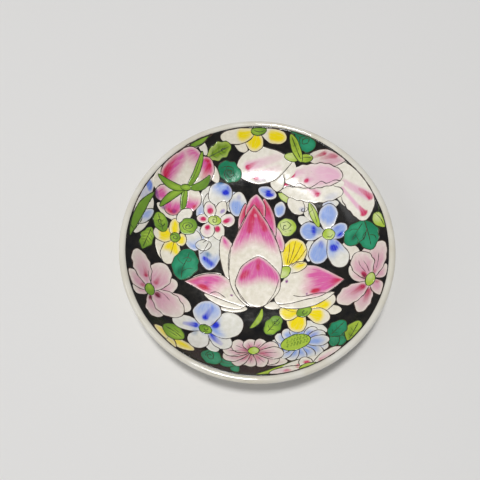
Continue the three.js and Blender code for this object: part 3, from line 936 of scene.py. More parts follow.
LEFT_SIDE = (
    motif(
        "plum_blossom_left", IVORY,
        petals((-18.4, 13.4, -13.4, 12.6, 3.6), paint=LIME, line=OLIVE, wash=(0.9, 0.2)),
        petals((-17, 14, -18.6, 20.6, 4.4), (-17.6, 13.5, -22.8, 14, 3.6)),
        petals((-17.4, 12.6, -19.4, 6.2, 5.2), belly=0.6), petals((-15.5, 12.6, -13.8, 5.2, 5)),
        petals((-14.4, 12.9, -8.1, 13.2, 5.2), belly=0.6), petals((-15, 13.6, -12.2, 20.9, 4.2)),
        dabs(
            DEEP, (-17.6, 16.8, 1.2, 1.3), (-20.2, 13.4, 1.1), (-18.6, 10.2, 1.1), (-14.8, 9.4, 1.1, 1.3),
            (-11.5, 12.7, 1.6, 0.9, 30),
        ),
        dabs(ACCENT, (-12.9, 16.7, 1.1, 0.7, 40), strength=0.6),
        dabs(DEEP, (-12.9, 16.7, 1.0, 0.6, 40), strength=0.6),
        dabs(WASH, (-17.8, 18.2, 1.4), (-21.4, 13.6, 1.2), (-10.2, 13.2, 1.4), soft=0.6),
        dabs(WASH, (-18.8, 8.4, 1.4), soft=0.6, strength=0.6), curl(-16.0, 13.0, 1.3, 1.2, 40, OLIVE),
        brushed((-20.4, 3.9, -18.8, 5.0, -17.6, 6.4)),
    ),
    motif(
        "dark_leaf_left", DARK_LEAF,
        petals((-28.3, -10.6, -25, 1.4, 9.4), ends=(0.6, 0.5), wash=(0.9, 0.4), ruffle=0.2),
        dabs(DEEP, (-28.4, -7.4, 2.2, 1.4, 60), soft=0.7, strength=0.7),
        dabs(WASH, (-24.5, -4.4, 1.6, 2.4), soft=0.7),
        brushed((-28.0, -10.0, -27.6, -6.0, -26.0, -2.4, -25.2, 0.2), paint=OLIVE),
        brushed(
            (-27.8, -7.4, -25.6, -6.2, -23.6, -6.4), (-27.2, -4.6, -29.0, -3.2, -29.6, -1.6), width=0.28,
            paint=OLIVE,
        ),
        curl(-25.6, -3.0, 1.5, 0.9, 200, OLIVE), line=OLIVE,
    ),
    motif(
        "green_bud_left", LEAF,
        petals((-34.9, 7.6, -37.2, 14.8, 4.8), wash=(0.2, 0.9), ruffle=0.15),
        veins(-35.2, 8.2, -37.0, 14.2, 1.6, 3, OLIVE), curl(-36.0, 11.4, 1.5, 0.9, 20, OLIVE), line=OLIVE,
    ),
    motif(
        "green_rosette_left", DARK_LEAF,
        petals((-28.4, 8, -23.4, 13, 6.2), paint=LEAF, wash=(0.9, 0.2), ruffle=0.2),
        petals((-30, 12.2, -24.8, 17.2, 4.4), paint=IVORY, line=OUTLINE),
        dabs(DEEP, (-26, 10.4, 1.4), soft=0.8, strength=0.7), curl(-25.9, 10.5, 2.2, 1.7, 60, OLIVE),
        curl(-25.9, 10.5, 0.9, 0.8, 240, OLIVE), line=OLIVE,
    ),
    motif(
        "yellow_bloom_left", YELLOW,
        petals((-32.6, 5.8, -28.8, 6.0, 3.6), paint=LEAF, line=OLIVE, wash=(0.9, 0.2)),
        petals((-31, 6, -30.9, 13.3, 3.8), wash=(-0.4, 0.1)),
        petals((-31.4, 6, -38.6, 7.6, 6), wash=(0.8, 0.6)),
        petals((-30.4, 5.2, -26.4, 4.9, 4.8), wash=(-0.4, 0.1)),
        petals((-31, 5, -33.4, -4.8, 6.9), wash=(0.62, 0.4)), fills((-37, 5.4, -33.6, -4, 3.8)),
        curl(-30.8, 5.9, 1.2, 1.2, 90, OLIVE),
        brushed((-31.0, 4.6, -31.6, 1.6, -32.2, -1.0), width=0.28, paint=OCHRE),
    ),
    motif(
        "blue_bloom_mid_left", BLUE,
        petals((-23, 3, -17, 3, 4)), petals((-17, 7.5, -17.8, -6.8, 8.4), wash=(0.45, 0.8)),
        petals((-25, 9.3, -22.6, 0.8, 6), wash=(0.3, 0.9)),
        fills((-25.5, 10.6, -18.4, 3, 6), wash=(0.0, 1.2)),
        comets(DEEP, (-19.4, -2.2, 0.8, -15.8, -5.4), tail_radius=0.8, fade=0.7, soft=0.6),
        dabs(ACCENT, (-18.4, -0.6, 1.5, 0.9, -30), soft=0.7, strength=0.7),
        dabs(WASH, (-23.5, 2, 1.6), soft=0.7), brushed((-18.0, 4.2, -20.0, 0.6, -21.4, -0.6)),
    ),
    motif(
        "bud_sepals", LEAF,
        petals((-29, 25.3, -25, 25.7, 2), wash=(-0.5, 0.5)),
        petals((-26.6, 25.2, -37, 27.8, 2.4), bow=1.2, wash=(1.0, 0.2)),
        petals((-26.8, 25, -20.6, 38.6, 2), bow=-0.8, wash=(0.0, 0.9)),
        petals((-26.4, 25.6, -17.8, 30.9, 2.8), bow=-1.8, deep=(0.2, 1.4)),
        petals((-26.8, 25.6, -36.5, 17, 2.2), bow=-0.7, wash=(1.0, 0.2)),
        petals((-27, 26, -28.4, 16, 2.2), wash=(0.9, 0.1)),
        brushed(
            (-27.4, 24.4, -28.2, 20.6, -28.4, 17.2), (-24.6, 28.6, -23.0, 32.0, -21.4, 36.2), width=0.26,
        ),
        line=OLIVE,
    ),
    motif(
        "bud_large_petal", ROSE,
        petals((-35, 25.6, -21.6, 38.2, 11.4), wash=(0.55, 1.0), crown=1.5),
        comets(DEEP, (-34.8, 28.4, 1.5, -30.8, 35.4), tail_radius=0.8, fade=0.55, soft=0.6),
        comets(WASH, (-34.0, 29.0, 2.6, -29.0, 36.2), tail_radius=2.4, fade=0.9, soft=0.7),
    ),
    motif(
        "bud_side_petal", ROSE,
        petals((-24.2, 25.6, -17.8, 36.9, 8.2), wash=(0.35, 0.85), crown=1.3),
        fills((-19, 36, -14.8, 28.4, 3.8)), dabs(DEEP, (-18.4, 36.4, 1.6, 1.2), soft=0.5),
        comets(DEEP, (-18.0, 34.4, 1.0, -20.6, 29.6), tail_radius=0.9, fade=0.3, soft=0.6),
        dabs(DEEP, (-17.4, 32.0, 0.8, 2.4, 10), soft=0.6, strength=0.4),
    ),
    motif(
        "bud_lower_left_petal", ROSE,
        petals((-31.8, 24.6, -37.8, 19.8, 5), wash=(0.1, 0.6)), fills((-36.2, 31, -37.4, 22.5, 3.6)),
        comets(ACCENT, (-38.0, 22.0, 0.8, -37.0, 18.8), tail_radius=0.6, fade=0.7, soft=0.5),
    ),
    motif(
        "bud_lower_middle_petal", ROSE,
        petals(
            (-29.3, 24.4, -33.2, 14.6, 7.2), belly=0.6, ends=(0.8, 0.5), wash=(0.25, 0.7), deep=(0.66, 0.9),
        ),
        fills((-37.4, 18, -29.8, 12.8, 3.4)),
        dabs(ACCENT, (-35.2, 17, 0.9), (-31.3, 16, 0.8), soft=0.5, strength=0.7),
    ),
    motif(
        "bud_lower_right_petal", ROSE,
        petals((-23.2, 25.4, -26.3, 16.4, 6.8), wash=(0.2, 0.7), deep=(0.72, 1.0)),
        dabs(DEEP, (-23.6, 18.4, 0.9, 0.8), soft=0.5),
    ),
    motif(
        "blue_bloom_upper_left", BLUE,
        petals((-10.5, 27.5, -17.2, 20.2, 9), wash=(0.75, 0.2)),
        petals((-6.5, 24.8, -7.6, 14.6, 6.4), wash=(0.2, 0.6)), petals((-11, 24, -6, 22, 3), wash=(0, 0.5)),
        petals((-12, 25, -19.6, 17.2, 7.6)), fills((-11, 26, -9.4, 16.4, 5)),
        fills((-17, 22, -22.5, 14.5, 4.5), wash=(0.1, 1.0)), fills((-17.2, 26.8, -21.4, 20.4, 3.4)),
        dabs(DEEP, (-11.8, 24.5, 1.4, 1.2), soft=0.4),
        dabs(DEEP, (-10, 27, 1.3, 1.9), soft=0.5, strength=0.85),
        dabs(ACCENT, (-13.2, 28.8, 2.0, 1.0, 20), soft=0.6), dabs(WASH, (-7.2, 19.4, 1.8), soft=0.7),
        dabs(DEEP, (-6.6, 22.6, 0.8, 1.0), soft=0.7, strength=0.35),
    ),
    motif(
        "striped_leaf_left", LEAF,
        petals((-39.3, 8.6, -42.2, -0.4, 4.2), ends=(0.6, 0.8), ruffle=0.25, wash=(1.0, 0.4)),
        veins(-39.4, 8.2, -42.0, 0.2, 1.8, 6, OLIVE), line=OLIVE,
    ),
    motif(
        "rim_stem_left", LEAF,
        petals((-46.2, 3.5, -38.4, 21.5, 2.6), bow=1.4, ends=(0.7, 0.7)),
        petals((-44.3, 8.8, -38.7, 15.3, 3), paint=BLUE, wash=(0.1, 0.6)),
        fills((-39.2, 19.5, -44.8, 5, 4.2), paint=IVORY),
        dabs(DEEP, (-40.6, 13.0, 0.8, 1.4, -40), soft=0.6, strength=0.5),
        brushed((-45.4, 5.0, -43.0, 9.6, -42.4, 11.6)),
        brushed((-45.0, 6.0, -46.2, 7.6, -46.4, 9.0), width=0.28), line=OLIVE,
    ),
    motif(
        "rim_petal_left", IVORY,
        petals((-38.8, 26.8, -45.6, 12, 4.6)), dabs(ACCENT, (-40, 23.2, 1.0, 2.0), soft=0.35, strength=1.0),
        dabs(ACCENT, (-41, 24.6, 1.0, 0.9), soft=0.4),
        dabs(ACCENT, (-41.6, 20.0, 1.6, 2.6, -20), soft=0.8, strength=0.4),
    ),
)

UPPER_SIDE = (
    motif(
        "rim_leaf_upper", IVORY,
        petals((-26.2, 38.9, -17.8, 44.2, 2.4), ends=(0.7, 0.8), paint=LEAF, line=OLIVE, wash=(0.2, 0.9)),
        petals((-28.8, 38.6, -17.2, 45.3, 4.6), ends=(0.7, 0.7)), fills((-21.6, 42, -19.2, 37.6, 2.6)),
        brushed((-30.2, 36.6, -27.4, 39.2, -25.0, 39.6)),
    ),
    motif(
        "lime_leaf_upper", LIME,
        petals((-18.7, 37, -9.8, 41.7, 5), wash=(1.0, 0.5), deep=(-0.2, 0.25), ruffle=0.25),
        dabs(DEEP, (-12.6, 39.2, 1.6, 0.8, 30), soft=0.7, strength=0.6),
        veins(-18.2, 37.2, -10.4, 41.2, 1.8, 3, OLIVE), curl(-12.6, 40.0, 1.0, 0.9, 0, OLIVE), line=OLIVE,
    ),
    motif(
        "yellow_bloom_top", YELLOW,
        petals((-2.0, 46.0, 4, 46.4, 2.6), paint=LEAF, line=OLIVE, wash=(0.9, 0.3)),
        petals((-0.4, 46, -13.8, 43.6, 5.2), wash=(0.52, 0.42)),
        petals((0.6, 46, -2, 40.2, 7), wash=(-0.4, 0.1)),
        petals((2, 46, 11.8, 43.3, 4.8), wash=(0.25, 0.4)), fills((-8.4, 43.2, -3.4, 40.2, 3.2)),
        brushed((-1.0, 46.2, 1.4, 45.8, 3.4, 46.2), width=0.28, paint=OLIVE),
    ),
    motif(
        "grass_leaves_top", LIME,
        petals((17.6, 35.6, 13.2, 44.6, 2.8), deep=(0.2, 0.9)),
        petals((16.8, 36.8, 11, 38.2, 2.6), wash=(0.0, 0.8)),
        petals((16.4, 37, 21.8, 36.2, 2.4), deep=(0.2, 0.9)), veins(17.2, 36.6, 13.6, 43.8, 0.9, 4, OLIVE),
        brushed((17.0, 36.8, 19.4, 36.9, 21.4, 36.4), width=0.26, paint=OLIVE), line=OLIVE,
    ),
    motif(
        "dark_rosette_top", DARK_LEAF,
        petals((15.2, 44.4, 22.4, 39.4, 6), wash=(0.0, 0.7), ruffle=0.2),
        petals((13, 46.4, 22.8, 41.8, 3), bow=0.6, wash=(0.0, 0.7)), curl(18.6, 42.0, 2.0, 1.5, 30, OLIVE),
        brushed((15.6, 44.0, 17.6, 42.6, 19.4, 42.8), width=0.28, paint=OLIVE), line=OLIVE,
    ),
    motif(
        "dark_rosette_upper", DARK_LEAF,
        petals((-14.5, 34.7, -5.9, 30.4, 7.4), ruffle=0.3, wash=(0.2, 0.9)),
        dabs(DEEP, (-10.4, 32.0, 2.2, 1.6), soft=0.8, strength=0.6), curl(-10.2, 32.4, 2.6, 1.8, 0, OLIVE),
        curl(-10.0, 32.4, 1.0, 0.9, 200, OLIVE),
        brushed((-13.6, 33.8, -11.8, 34.6, -9.6, 34.4), width=0.28), line=OLIVE,
    ),
    motif(
        "magnolia_bloom", IVORY,
        petals((14.4, 36.4, -7.3, 33.6, 13), belly=0.58, ends=(0.7, 0.4), crown=1.3),
        petals((8.2, 24.9, 8.3, 33.6, 5.4)), fills((3, 35, 15.5, 33.2, 9.5)),
        comets(DEEP, (-3.1, 34.5, 1.0, 0.4, 36.4), (0.1, 30.8, 1.1, 3.6, 32.4), tail_radius=0.5, fade=0.1),
        comets(WASH, (-2.6, 34.8, 1.8, 9.0, 38.0), tail_radius=1.4, fade=0.3, soft=0.6),
        comets(WASH, (0.6, 31.2, 1.8, 8.4, 33.8), tail_radius=1.6, fade=0.3, soft=0.6),
        dabs(ACCENT, (3.0, 30.0, 2.0, 1.2, 20), soft=0.9, strength=0.18),
    ),
    motif(
        "peony_upper_petal", IVORY,
        petals(
            (10.6, 30.4, 32.8, 28.4, 8.6), bow=0.8, ends=(0.4, 0.5), ruffle=0.16, wash=(0.0, 0.9),
            crown=1.3,
        ),
        dabs(DEEP, (14.1, 31.3, 1.0), (19.5, 28.8, 1.0, 0.8, 20)),
        comets(
            WASH, (14.8, 31.6, 1.6, 22.0, 32.6), (20.2, 29.0, 1.6, 27.0, 30.4), tail_radius=1.0, fade=0.3,
            soft=0.6,
        ),
        brushed(
            (12.6, 27.2, 14.4, 26.6, 16.4, 28.0, 18.4, 27.2, 20.4, 26.0, 22.6, 26.8,
             25.0, 28.0, 27.0, 27.0, 30.0, 27.6, 32.2, 26.8),
            width=0.36,
        ),
    ),
    motif(
        "peony_top_petal", DUSTY_ROSE,
        petals((19.8, 37, 34, 33.6, 5.2), wash=(0.1, 0.7)),
        comets(DEEP, (25.8, 37, 0.8, 21.6, 36.4), tail_radius=0.3, fade=0.2),
        comets(DEEP, (30, 35.7, 1.1, 24.6, 35.6), tail_radius=0.4, fade=0.15),
    ),
    motif(
        "peony_lower_petal", IVORY,
        petals((9.6, 25.3, 33, 22.8, 7.4), ends=(0.6, 0.45), ruffle=0.2, crown=1.2),
        petals((8.8, 32.8, 11.4, 24.6, 6.8)), fills((14, 26.5, 33.4, 25.8, 5.4)),
        dabs(DEEP, (11.5, 28, 1.0, 0.9)),
        comets(DEEP, (23.6, 23.3, 0.9, 21.6, 25.6), tail_radius=0.4, fade=0.1),
        comets(WASH, (23.2, 23.8, 1.5, 19.6, 27.0), tail_radius=1.2, fade=0.5, soft=0.6),
        dabs(WASH, (12.4, 28.0, 1.8, 1.2), soft=0.7),
        dabs(ACCENT, (28.6, 21.8, 2.2, 1.2, 10), soft=0.8, strength=0.25),
    ),
    motif(
        "peony_right_petal", IVORY,
        petals((29, 32.8, 41, 11, 11.4), bow=2.8, ends=(0.6, 0.5), ruffle=0.15, crown=1.3),
        fills((23.5, 33.6, 38, 25.4, 8.6), (31, 28, 36.6, 17, 6.4)), fills((33, 32, 43.4, 16, 7), bow=1.6),
        comets(DEEP, (42.3, 18.7, 1.1, 38.4, 22.6), tail_radius=0.4, fade=0.35),
        comets(WASH, (42.0, 19.0, 1.4, 33.2, 26.2), tail_radius=0.9, fade=0.7, soft=0.5),
        comets(DEEP, (40, 13.7, 1.25, 38.6, 16.4), tail_radius=0.3, fade=0.5),
        comets(WASH, (39.6, 14.4, 0.7, 32.5, 24.5), tail_radius=0.5, fade=0.9, soft=0.5),
    ),
    motif(
        "blue_petal_upper", BLUE,
        petals((1, 26.2, 7.8, 22.6, 4.8), wash=(0.9, 0.1)), dabs(DEEP, (5.2, 24, 2.2, 1.7, 10), soft=0.45),
        dabs(DEEP, (3.3, 24.1, 0.5), strength=-0.6), dabs(DEEP, (6.2, 24.6, 0.6), strength=-0.5),
    ),
    motif("pale_blue_petal", BLUE, petals((9.8, 20.7, 8.4, 14.2, 4.2), wash=(0.0, 0.5))),
    motif(
        "white_petal_centre", IVORY,
        petals((13, 22.6, 17.6, 15.5, 5.8)),
        petals((8.6, 24.2, 14.4, 20, 3), ends=(0.7, 0.5), paint=LIME, line=OLIVE, wash=(1.0, 0.4)),
        dabs(ACCENT, (17.8, 17.4, 1.2, 0.9), soft=0.7, strength=0.35), curl(18.2, 17.4, 1.5, 0.9, 80),
    ),
    motif(
        "lime_bud_centre", LIME,
        petals((8, 10.2, 15.3, 10.3, 6.9), wash=(0.95, 0.35)), dabs(ACCENT, (12.8, 8.9, 0.3), soft=0.4),
        curl(11.2, 10.6, 2.2, 1.1, 100, OLIVE),
        brushed((9.0, 12.2, 9.6, 9.6, 11.4, 8.4), width=0.26, paint=OLIVE),
        curl(11.0, 10.4, 1.1, 0.8, 0, OLIVE), line=OLIVE,
    ),
)

RIGHT_SIDE = (
    motif(
        "dark_leaf_right", DARK_LEAF,
        petals((40, 10.9, 34, 2.4, 6.8), ends=(0.7, 0.45), wash=(1.2, 0.6), ruffle=0.2),
        petals((40, 11, 42.2, -0.7, 6.6), ends=(0.7, 0.55), wash=(0.0, 0.9), ruffle=0.2),
        dabs(DEEP, (36.6, 5.4, 1.6, 1.2, 50), soft=0.8, strength=0.6),
        brushed((39.6, 10.2, 37.4, 7.0, 35.6, 4.2), (40.4, 10.2, 41.4, 5.4, 42.0, 1.0), paint=OLIVE),
        brushed(
            (38.2, 8.0, 36.0, 8.4, 34.8, 7.6), (36.9, 6.2, 37.9, 4.0, 37.4, 2.8),
            (41.0, 7.0, 39.6, 5.2, 39.8, 3.4), (41.4, 5.2, 43.2, 4.4, 43.8, 2.8), width=0.28, paint=OLIVE,
        ),
        line=OLIVE,
    ),
    motif(
        "lime_stem_right", LIME,
        petals((20.3, 20.2, 23.8, 10.2, 2.6), ends=(0.7, 0.5), wash=(0.9, 0.2)),
        fills((18.6, 21.4, 22.4, 12.6, 5), paint=IVORY),
        brushed((20.8, 19.4, 22.0, 16.2, 23.2, 11.8), width=0.28, paint=OLIVE),
        brushed((21.6, 17.2, 20.2, 16.0, 19.8, 14.6), width=0.26, paint=OLIVE), line=OLIVE,
    ),
    motif(
        "blue_bloom_right", BLUE,
        petals((25, 6.8, 29.7, 7.8, 4.2), paint=LIME, line=OLIVE, wash=(0.2, 0.9)),
        petals((28, 6, 33.9, 10.8, 5.4), wash=(-0.3, 0.4)),
        petals((26.6, 8, 28, 19.4, 6.8), belly=0.6, wash=(0.15, 0.5)),
        petals((26, 8, 16.4, 8.9, 7.2), belly=0.6, wash=(0.1, 0.5)),
        petals((27.6, 7, 32.1, -5.9, 7.4), belly=0.65, wash=(0.75, 0.35)),
        petals((26, 7, 21.6, -4.3, 7.2), belly=0.62, wash=(0.1, 0.5)),
        fills((20.6, 5.2, 19.4, -3.4, 3.6), (20.4, 10.8, 16.2, 14.4, 3.2)),
        fills((25.4, 18.8, 31.4, 19.2, 3), wash=(0.9, 0.1)),
        dabs(DEEP, (31.5, 5.5, 1.4, 2.5, -20), soft=0.35), dabs(DEEP, (29, 1.8, 1.6, 1.4), soft=0.4),
        dabs(DEEP, (24.3, 3.3, 0.9, 1.4), soft=0.7, strength=0.45),
        dabs(DEEP, (21.8, 9, 0.9, 2.0), soft=0.5, strength=0.9),
        dabs(ACCENT, (23.9, 9, 1.4, 1.6), soft=0.7, strength=0.45),
        dabs(DEEP, (30.6, 9.6, 1.0, 0.8), soft=0.7, strength=0.3),
        brushed((26.6, 6.6, 28.0, 6.2, 29.0, 7.4), width=0.28, paint=OLIVE),
    ),
    motif(
        "lime_bud_rim", LIME,
        petals((47, 6.6, 43.4, 12.6, 3.8), wash=(0.2, 0.8)),
        brushed((46.6, 7.2, 45.4, 9.8, 44.0, 12.0), width=0.28, paint=OLIVE),
        brushed((44.2, 12.2, 45.4, 14.2, 45.8, 15.8), (44.0, 12.2, 43.0, 13.0)), line=OLIVE,
    ),
    motif(
        "pink_bloom_right", DUSTY_ROSE,
        petals((40.0, -14.6, 41.6, -9.6, 2.8), paint=LIME, line=OLIVE, wash=(0.2, 0.9)),
        petals(
            (40.2, -12, 37.6, -0.6, 7.4), (41.6, -12, 45.3, 1.8, 5.8), belly=0.6, ruffle=0.16,
            wash=(1.3, 0.25),
        ),
        petals((41.4, -12.4, 44.3, -19.3, 4), wash=(1.3, 0.25)),
        petals(
            (40.6, -13, 29.2, -19.8, 6.6), (40.8, -13.4, 35.8, -24.5, 4.8), belly=0.6, ruffle=0.16,
            wash=(1.3, 0.25),
        ),
        fills((37.6, -3.5, 32.6, 3.4, 5)), fills((39.6, -6, 40.6, 0.6, 3.4), wash=(1.3, 0.25)),
        fills((40.4, -12.5, 34.6, -5.6, 5.6), wash=(1.0, 0.1)),
        fills((42.4, -11.6, 46.8, -8, 4.6), wash=(1.3, 0.25)),
        dabs(DEEP, (39, -10.1, 0.9, 1.6, 12), (43, -12.9, 0.9, 1.2), soft=0.4),
        dabs(ACCENT, (39.1, -10.6, 0.6, 1.1, 12), soft=0.5, strength=0.8),
        comets(DEEP, (38.0, -14.6, 1.2, 34.6, -16.6), tail_radius=0.7, fade=0.3, soft=0.5),
        comets(DEEP, (40.0, -16.6, 1.1, 38.2, -20.4), tail_radius=0.6, fade=0.3, soft=0.5),
        dabs(DEEP, (42.4, -9.4, 0.5, 0.9, -20), soft=0.6, strength=0.5),
        brushed(
            (40.8, -9.2, 40.2, -6.6, 39.2, -4.4), (39.6, -8.8, 38.0, -6.0, 37.6, -4.0),
            (43.0, -8.4, 43.9, -5.2, 44.2, -2.6), width=0.26,
        ),
    ),
    motif(
        "pink_bloom_left", DUSTY_ROSE,
        petals((-38.0, -18, -39.4, -13.4, 2.8), paint=LEAF, line=OLIVE, wash=(0.2, 0.9)),
        petals((-39.2, -14.6, -44, -0.8, 5.6), belly=0.6, ruffle=0.16, wash=(1.2, 0.2)),
        petals((-38, -16, -34.5, -4.7, 8.8), belly=0.55, ruffle=0.16, wash=(1.2, 0.2), crown=1.3),
        petals((-39, -15.8, -46.4, -9.5, 5), wash=(1.3, 0.2)),
        petals((-38, -16, -27, -24.6, 8.4), belly=0.55, ruffle=0.16, wash=(1.1, 0.2), crown=1.3),
        petals((-38.5, -16.4, -34.6, -26.4, 6), belly=0.6, ruffle=0.16, wash=(1.2, 0.2)),
        fills((-37.5, -15.6, -29.4, -11.8, 6.4), wash=(1.2, 0.2)),
        fills((-34, -17, -24.2, -22.2, 6), wash=(1.0, 0.1)),
        fills((-38.6, -15.8, -44.4, -15.8, 4.8), wash=(1.2, 0.2)),
        comets(DEEP, (-40.3, -10.4, 0.7, -41.0, -7.0), tail_radius=0.5, fade=0.1, soft=0.5),
        dabs(DEEP, (-41, -14.5, 0.8), soft=0.6, strength=0.6),
        comets(DEEP, (-36.8, -12.6, 0.9, -35.4, -9.2), tail_radius=0.5, fade=0.1, soft=0.5, strength=0.7),
        dabs(ACCENT, (-36, -17.5, 0.9, 1.3, 40), (-38.3, -18.8, 0.6, 1.0), soft=0.5),
        brushed((-38.0, -14.0, -39.2, -11.2, -39.8, -8.4), width=0.28),
        brushed((-36.6, -15.6, -34.0, -16.8, -31.6, -19.2), width=0.26),
    ),
)

